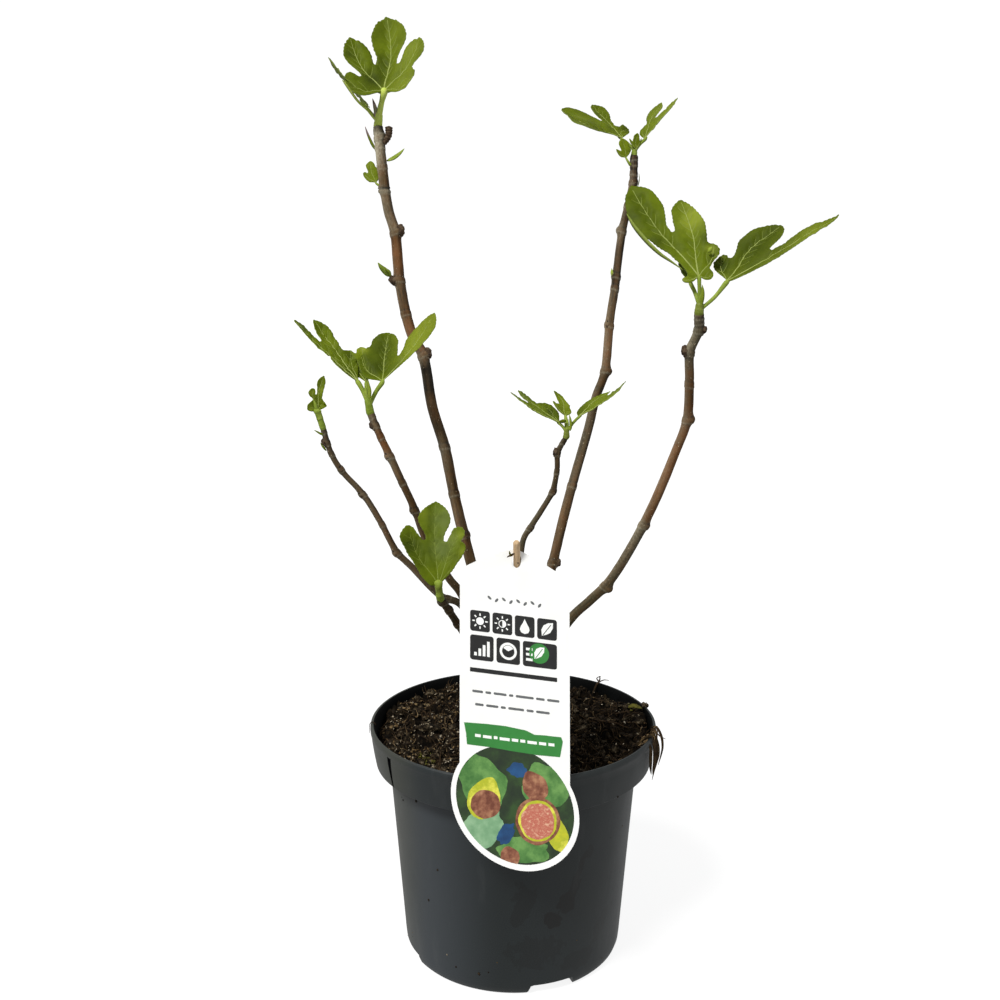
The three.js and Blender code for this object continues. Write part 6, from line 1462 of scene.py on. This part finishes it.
cuts = []
for i in range(4):
    cuts.append(cutter(40, 22, 12.2, 0, -85, 2.1, math.radians(20 + 90 * i), 0.84))
cuts.append(cutter(1.9, 9, 24, 0, -107.2, 168.6, math.radians(-56), 2.9))
cuts.append(cutter(4.6, 9, 26, 0, -107.2, 166.5, math.radians(124), 0.45))
for c in cuts:
    md = pot.modifiers.new("cut", "BOOLEAN")
    md.operation, md.solver, md.object = "DIFFERENCE", "EXACT", c
dg = bpy.context.evaluated_depsgraph_get()
done = bpy.data.meshes.new_from_object(pot.evaluated_get(dg))
pot.modifiers.clear()
pot.data = done
done.name = "pot_body"
for c in cuts:
    bpy.data.objects.remove(c)
done.materials.clear()
done.materials.append(pot_mat)
# painted shade: the inner wall above the soil gets a darker, duller copy of the pot's plastic, standing in for the
# shade inside the pot
done.materials.append(material("pot_inner_painted_shade", rgb("060707"), 0.7, 0.06, rgb("0b0c0c"), scale=30.0, bump=0.15, bump_scale=900.0))
mid = np.zeros(3 * len(done.polygons), np.float32)
done.polygons.foreach_get("center", mid)
mid = mid.reshape(-1, 3)
# the faces of the inner wall above the soil, which take the painted shade
painted_shade_inner_faces = (np.hypot(mid[:, 0], mid[:, 1]) - 0.085 * (mid[:, 2] - 0.16) < 0.1077) & (mid[:, 2] > 0.1585)
done.polygons.foreach_set("material_index", painted_shade_inner_faces.astype(np.int32))
done.polygons.foreach_set("use_smooth", np.ones(len(done.polygons), bool))
done.set_sharp_from_angle(angle=math.radians(34))
done.update()
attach(pot, "root")
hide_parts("pot")

# grit and crumbs stuck to the pot
m = Mesh()
for px, py, size, mat in ((416, 801, 1.4, "chip_dark"), (437.5, 870, 1.0, "chip_dark"), (428.5, 900, 1.2, "chip_dark"), (447, 954.6, 0.6, "lenticel"), (617.7, 796.7, 1.1, "chip_dark"), (479, 974, 1.3, "chip_dark"), (632, 772, 0.9, "chip_dark"), (456, 967, 0.9, "chip_dark"), (403, 800, 0.8, "chip_dark")):
    q = on_pot(px, py)
    out = unit([q[0], q[1], 0])
    lump(m, q, [out * 0.35 * size, np.array([0, 0, 1.0]) * size, np.cross(out, [0, 0, 1.0]) * size * 0.8], mat, 5, 8, seed=px, rough=0.5)
r = random.Random(55)
for _ in range(46):
    t = r.uniform(0, 2 * math.pi)
    z = r.choice([r.uniform(8, 30), r.uniform(20, 150)])
    rad_here = np.interp(z, [10, 155], [86.5, 97.6])
    out = np.array([math.sin(t), -math.cos(t), 0])
    size = r.uniform(0.25, 0.6)
    lump(m, out * rad_here + np.array([0, 0, z]), [out * 0.2 * size, np.array([0, 0, 1.0]) * size, np.cross(out, [0, 0, 1.0]) * size], "chip_dark" if r.random() < 0.7 else "chip_brown", 4, 6, seed=z, rough=0.5)
m.build("pot_grit", "pot")

# ------------------------------------------------------------------ soil
m = Mesh()
RINGS, SEGS = 84, 220
rad_list = [107.2 * (i / RINGS) ** 0.9 for i in range(1, RINGS + 1)]
V = [[0, 0, soil_height(0, 0)]]
for r_ in rad_list:
    for k in range(SEGS):
        t = 2 * math.pi * k / SEGS
        x, y = r_ * math.cos(t), r_ * math.sin(t)
        V.append([x, y, soil_height(x, y)])
F = [(0, 1 + k, 1 + (k + 1) % SEGS) for k in range(SEGS)]
for i in range(RINGS - 1):
    for k in range(SEGS):
        j = (k + 1) % SEGS
        F.append((1 + i * SEGS + k, 1 + (i + 1) * SEGS + k, 1 + (i + 1) * SEGS + j, 1 + i * SEGS + j))
base_i = 1 + (RINGS - 1) * SEGS
side_prof = [[106.0, 160.0], [104.6, 158.2], [95.6, 157.6], [84.6, 12.0], [80.6, 7.4]]
for r_, z in side_prof:
    for k in range(SEGS):
        t = 2 * math.pi * k / SEGS
        V.append([r_ * math.cos(t), r_ * math.sin(t), z])
prev = base_i
for i in range(len(side_prof)):
    cur = 1 + RINGS * SEGS + i * SEGS
    for k in range(SEGS):
        j = (k + 1) % SEGS
        F.append((prev + k, cur + k, cur + j, prev + j))
    prev = cur
V.append([0, 0, 7.4])
for k in range(SEGS):
    F.append((len(V) - 1, prev + (k + 1) % SEGS, prev + k))
m.add(V, F, "peat")
m.build("soil_bed", "soil", ["soil"])


def chip(mesh, c, size, mat, r):
    d = unit([r.gauss(0, 1), r.gauss(0, 1), r.gauss(0, 0.5)])
    e = unit(np.cross(d, [r.gauss(0, 1), r.gauss(0, 1), 1.0]))
    f = np.cross(d, e)
    lump(mesh, c, [d * size, e * size * r.uniform(0.4, 0.8), f * size * r.uniform(0.25, 0.6)], mat, 4, 5, seed=r.random() * 50, rough=0.7)


def on_soil(px, py, lift=0.0):
    """The place on the soil, in mm, that is seen at a place in the picture."""
    for y in np.linspace(-100, 95, 700):
        q = at(px, py, y)
        if q[2] <= soil_height(q[0], q[1]) + lift:
            break
    return q


def strand(mesh, c, length, radius, mat, r, lift=0.5, sides=4):
    t = r.uniform(0, 2 * math.pi)
    pts = [np.array(c, float)]
    ang, pitch = t, r.uniform(-0.2, lift)
    for _ in range(4):
        ang += r.uniform(-0.7, 0.7)
        pitch += r.uniform(-0.55, 0.35)
        pts.append(pts[-1] + np.array([math.cos(ang) * math.cos(pitch), math.sin(ang) * math.cos(pitch), math.sin(pitch)]) * length / 4)
    P_, s_ = smooth_path(pts, length / 6)
    for q in P_:
        rr0 = math.hypot(q[0], q[1])
        if rr0 > 105.5:
            q[0] *= 105.5 / rr0
            q[1] *= 105.5 / rr0
        q[2] = max(q[2], soil_height(q[0], q[1]) + 0.1)
    tube(mesh, P_, np.interp(s_ / s_[-1], [0, 0.5, 1], [radius, radius, radius * 0.4]), mat, sides)


dark, brown, pale, roots = Mesh(), Mesh(), Mesh(), Mesh()
r = random.Random(2024)
for _ in range(2100):
    q = math.sqrt(r.random()) * 104.5
    t = r.uniform(0, 2 * math.pi)
    x, y = q * math.cos(t), q * math.sin(t)
    if q < 17:
        continue
    left = x < 0
    size = r.choice([r.uniform(0.7, 1.5), r.uniform(0.7, 1.5), r.uniform(1.2, 2.6)])
    drift = noise.noise(Vector((x * 0.05, y * 0.05, 8.0)))
    mesh_, mat_ = (brown, "chip_brown") if r.random() < (0.42 if left else 0.1) + 0.7 * drift else (dark, "chip_dark")
    chip(mesh_, [x, y, soil_height(x, y) + size * 0.25], size, mat_, r)
clumps = Mesh()
for _ in range(620):
    q, t = math.sqrt(r.random()) * 102, r.uniform(0, 2 * math.pi)
    x, y = q * math.cos(t), q * math.sin(t)
    if q < 22 or (x > 0 and r.random() < 0.45):
        continue
    size = r.uniform(1.8, 4.4)
    c = np.array([x, y, soil_height(x, y) + size * 0.12])
    d, u = unit([r.gauss(0, 1), r.gauss(0, 1), r.gauss(0, 0.3)]), r.uniform(0.5, 0.85)
    e = unit(np.cross(d, [0, 0, 1.0]))
    lump(clumps, c, [d * size, e * size * u, np.cross(d, e) * size * r.uniform(0.45, 0.7)], "clump", 7, 10, seed=r.random() * 90, rough=0.9)
    for _ in range(4):
        g = c + np.array([r.uniform(-1, 1) * size, r.uniform(-1, 1) * size, r.uniform(0.1, 0.6) * size])
        chip(clumps, g, r.uniform(0.6, 1.3), "clump", r)
clumps.build("soil_clumps", "soil")
for _ in range(1700):
    q, t = math.sqrt(r.random()) * 103, r.uniform(0, 2 * math.pi)
    x, y = q * math.cos(t), q * math.sin(t)
    if q < 20 or (x > 0 and r.random() < 0.62) or noise.noise(Vector((x * 0.06, y * 0.06, 21.0))) < -0.06:
        continue
    chip(pale, [x, y, soil_height(x, y) + r.uniform(0.6, 2.6)], r.choice([r.uniform(0.35, 0.9), r.uniform(0.7, 1.25)]), "crumb", r)
for _ in range(1500):
    q = math.sqrt(r.random()) * 103
    t = r.uniform(0, 2 * math.pi)
    x, y = q * math.cos(t), q * math.sin(t)
    if q < 18:
        continue
    left = x < 0
    c = [x, y, soil_height(x, y) + 0.3]
    if r.random() < (0.2 if left else 0.14):
        strand(pale, c, r.uniform(4, 11), r.uniform(0.14, 0.32), "fibre", r, 0.8)
    else:
        strand(roots, c, r.uniform(5, 14), r.uniform(0.2, 0.45), "fibre_dark", r, 0.8)
for _ in range(26):
    px, py = r.uniform(628, 646), r.uniform(702, 712)
    g = at(px, py, r.uniform(20, 45))
    x, y = g[0], g[1] + 6
    if math.hypot(x, y) < 104:
        chip(pale, [x, y, soil_height(x, y) + 0.8], r.uniform(0.8, 1.9), "moss", r)
for _ in range(70):
    g = on_soil(r.uniform(419, 435), r.uniform(753, 765), 0.6)
    if math.hypot(g[0], g[1]) < 104:
        chip(pale, [g[0], g[1], soil_height(g[0], g[1]) + 0.7], r.uniform(0.5, 1.2), "moss", r)
dark.build("soil_crumbs_dark", "soil")
brown.build("soil_crumbs_brown", "soil")
pale.build("soil_fibres_pale", "soil")
roots.build("soil_fibres_dark", "soil")

# bits that lie over the rim: a twig at the back, dry wisps at the right, a thread at the left
m = Mesh()


def on_rim(deg, up=0.6, inn=0.0):
    t = math.radians(deg)
    return np.array([(110.6 - inn) * math.sin(t), -(110.6 - inn) * math.cos(t), 186 + up])


P_, s_ = smooth_path([on_rim(137.5, -7, 8), on_rim(137.5, -1, 3.5), on_rim(137.5, 1.3, 0), on_rim(138, 2.9, -2.5), on_rim(139, 3.8, -4.5)], 0.8)
tube(m, P_, np.interp(s_ / s_[-1], [0, 0.5, 1], [0.8, 0.9, 0.4]), "fibre_dark", 7)
P_, s_ = smooth_path([on_rim(137.5, 0.6, 0.5), on_rim(135.5, 3.0, -1.5), on_rim(133, 3.8, -2.5)], 0.8)
tube(m, P_, np.interp(s_ / s_[-1], [0, 1], [0.6, 0.25]), "fibre_dark", 6)
P_, s_ = smooth_path([on_rim(138, 1.5, 0), on_rim(139, 3.0, -0.5), on_rim(138, 4.8, -1), on_rim(137, 5.4, -1.5)], 0.8)
tube(m, P_, np.interp(s_ / s_[-1], [0, 1], [0.6, 0.25]), "fibre_dark", 6)
lump(m, on_rim(104, 0.8, 0.4), [np.array([3.0, 0, 0.3]), np.array([0, 2.4, 0]), np.array([0, 0, 2.6])], "clump", 9, 12, seed=4, rough=0.6)
for deg, drop, wdt, bend, mat in ((76, 14, 2.2, 1.5, "fibre_dark"), (72, 13, 2.2, 0.5, "dry_leaf"), (69, 8, 1.6, 1.0, "chip_dark")):
    o_ = unit(on_rim(deg) * [1, 1, 0])
    side = np.cross(o_, [0, 0, 1.0])
    top_p = on_rim(deg, 1.0, 0)
    pts = [top_p - o_ * 7 - np.array([0, 0, 7.5]), top_p - o_ * 3 + np.array([0, 0, 0.6]), top_p + o_ * 1.9 + np.array([0, 0, 0.3]), top_p + o_ * 2.4 + side * bend * 0.5 - np.array([0, 0, drop * 0.4]), top_p + o_ * (1.6) + side * bend - np.array([0, 0, drop])]
    sliver(m, pts, wdt, mat, face=o_ + side * 0.3)
# a dead leaf crumpled over the rim, its torn blade hanging down outside: [degrees, from the pot's middle, height]
for places, wdt, mat in ((((70, 103, 183), (73, 108, 187.2), (76, 112.4, 186.6), (78, 114.8, 179), (79, 115.4, 170), (78.5, 114.4, 164), (78, 113.0, 157), (77, 112, 150)), 3.2, "dry_leaf"),
                         (((74, 109, 186), (75, 113, 183), (75.5, 114.3, 174), (75, 114.3, 166), (75.5, 113.4, 161), (77, 112.4, 154.5)), 4.4, "fibre_dark"),
                         (((71, 110, 186), (70.5, 113, 182), (70, 113.7, 174), (70.5, 113.6, 166), (73, 113, 158)), 3.0, "dry_leaf"),
                         (((86, 108, 186), (85, 112.5, 187), (84, 116.4, 181), (83, 117.8, 173), (82, 117.0, 167), (80, 115.4, 160)), 2.2, "fibre_dark"),
                         (((81, 109, 186.6), (80, 113, 186.6), (79, 117, 184.6), (79, 121, 183)), 0.9, "fibre_dark")):
    pts = [np.array([q * math.sin(math.radians(g - 5)), -q * math.cos(math.radians(g - 5)), z]) for g, q, z in places]
    sliver(m, pts, wdt, mat, face=(0.45, -0.8, 0.1))
for k in range(9):
    b0 = on_rim(70 + k * 1.1, -3.5, 3.0)
    P_, s_ = smooth_path([b0 - unit(b0 * [1, 1, 0]) * 6 - [0, 0, 4], b0, on_rim(70.6 + k, 1.0, 0.4), on_rim(71 + k * 1.2, 0.5 + (k % 3) * 0.5, -2.6), on_rim(70 + k * 1.4, -3 - 2.0 * (k % 4), -3.0)], 0.8)
    tube(m, P_, np.interp(s_ / s_[-1], [0, 1], [0.4, 0.15]), "fibre_dark" if k % 2 else "fibre", 5)
# a green scrap and a long twig inside the rim on the right
sliver(m, [at(628, 707.5, 20), at(632, 706, 21), at(637, 706.5, 20), at(642, 708.5, 16)], 3.6, "moss", face=(0, -0.8, 0.6))
for places, rad in ((((594, 719), (604, 721.5), (614, 722.5), (622, 725.5), (630, 728.5)), 1.0), (((612, 722), (618, 718.5), (625, 716)), 0.7), (((616, 714), (624, 712), (632, 711)), 0.9)):
    P_, s_ = smooth_path([on_soil(x, y, 1.0) for x, y in places], 0.8)
    tube(m, P_, np.interp(s_ / s_[-1], [0, 0.5, 1], [rad * 0.7, rad, rad * 0.4]), "fibre_dark", 6)
P_, s_ = smooth_path([on_rim(-86, -2, 3), on_rim(-86, 0.7, 0), on_rim(-85.5, -1.2, -2.0), on_rim(-85, -5, -2.1), on_rim(-86.5, -9, -2.4)], 0.7)
tube(m, P_, np.interp(s_ / s_[-1], [0, 1], [0.35, 0.15]), "fibre_dark", 5)
m.build("rim_litter", "soil")

# ------------------------------------------------------------------ floor and light
me = bpy.data.meshes.new("floor")
R_ = 14.0
me.from_pydata([(R_ * math.cos(2 * math.pi * k / 64), R_ * math.sin(2 * math.pi * k / 64), 0) for k in range(64)], [], [tuple(range(64))])
floor = bpy.data.objects.new("floor", me)
bpy.context.scene.collection.objects.link(floor)
fm = bpy.data.materials.new("floor_white")
fm.use_nodes = True
fb = fm.node_tree.nodes["Principled BSDF"]
fb.inputs["Base Color"].default_value = (0.2, 0.2, 0.2, 1)
fb.inputs["Roughness"].default_value = 0.9
fb.inputs["Specular IOR Level"].default_value = 0.0
fb.inputs["Emission Color"].default_value = (1, 1, 1, 1)
fb.inputs["Emission Strength"].default_value = 0.88
me.materials.append(fm)
floor.visible_diffuse = floor.visible_glossy = False

world = bpy.data.worlds.new("studio")
world.use_nodes = True
wt = world.node_tree
bg = wt.nodes["Background"]
bg.inputs["Color"].default_value = (0.97, 0.985, 1.0, 1)
bg.inputs["Strength"].default_value = 0.36
sweep = wt.nodes.new("ShaderNodeBackground")
sweep.inputs["Color"].default_value = (1, 1, 1, 1)
sweep.inputs["Strength"].default_value = 1.05
path, both = wt.nodes.new("ShaderNodeLightPath"), wt.nodes.new("ShaderNodeMixShader")
shine, seen = wt.nodes.new("ShaderNodeBackground"), wt.nodes.new("ShaderNodeMixShader")
shine.inputs["Strength"].default_value = 0.8
wt.links.new(path.outputs["Is Glossy Ray"], seen.inputs[0])
wt.links.new(bg.outputs[0], seen.inputs[1])
wt.links.new(shine.outputs[0], seen.inputs[2])
wt.links.new(path.outputs["Is Camera Ray"], both.inputs[0])
wt.links.new(seen.outputs[0], both.inputs[1])
wt.links.new(sweep.outputs[0], both.inputs[2])
wt.links.new(both.outputs[0], wt.nodes["World Output"].inputs["Surface"])
bpy.context.scene.world = world


def sun(name, side, up, strength, soft, colour=(1, 1, 1)):
    """A broad soft light from side degrees left of the front, up degrees above level."""
    d = bpy.data.lights.new(name, "SUN")
    d.energy, d.angle, d.color = strength, math.radians(soft), colour
    o_ = bpy.data.objects.new(name, d)
    bpy.context.scene.collection.objects.link(o_)
    a_, e_ = math.radians(side), math.radians(up)
    to = Vector((-math.sin(a_) * math.cos(e_), -math.cos(a_) * math.cos(e_), math.sin(e_)))
    o_.location = to * 3
    o_.rotation_euler = (-to).to_track_quat("-Z", "Y").to_euler()
    return o_


sun("key", 38, 50, 3.1, 16, (1.0, 0.99, 0.965))
sun("fill", -50, 20, 0.45, 60, (0.97, 0.985, 1.0))
bpy.context.scene.view_settings.view_transform = "Standard"
bpy.context.scene.view_settings.look = "None"
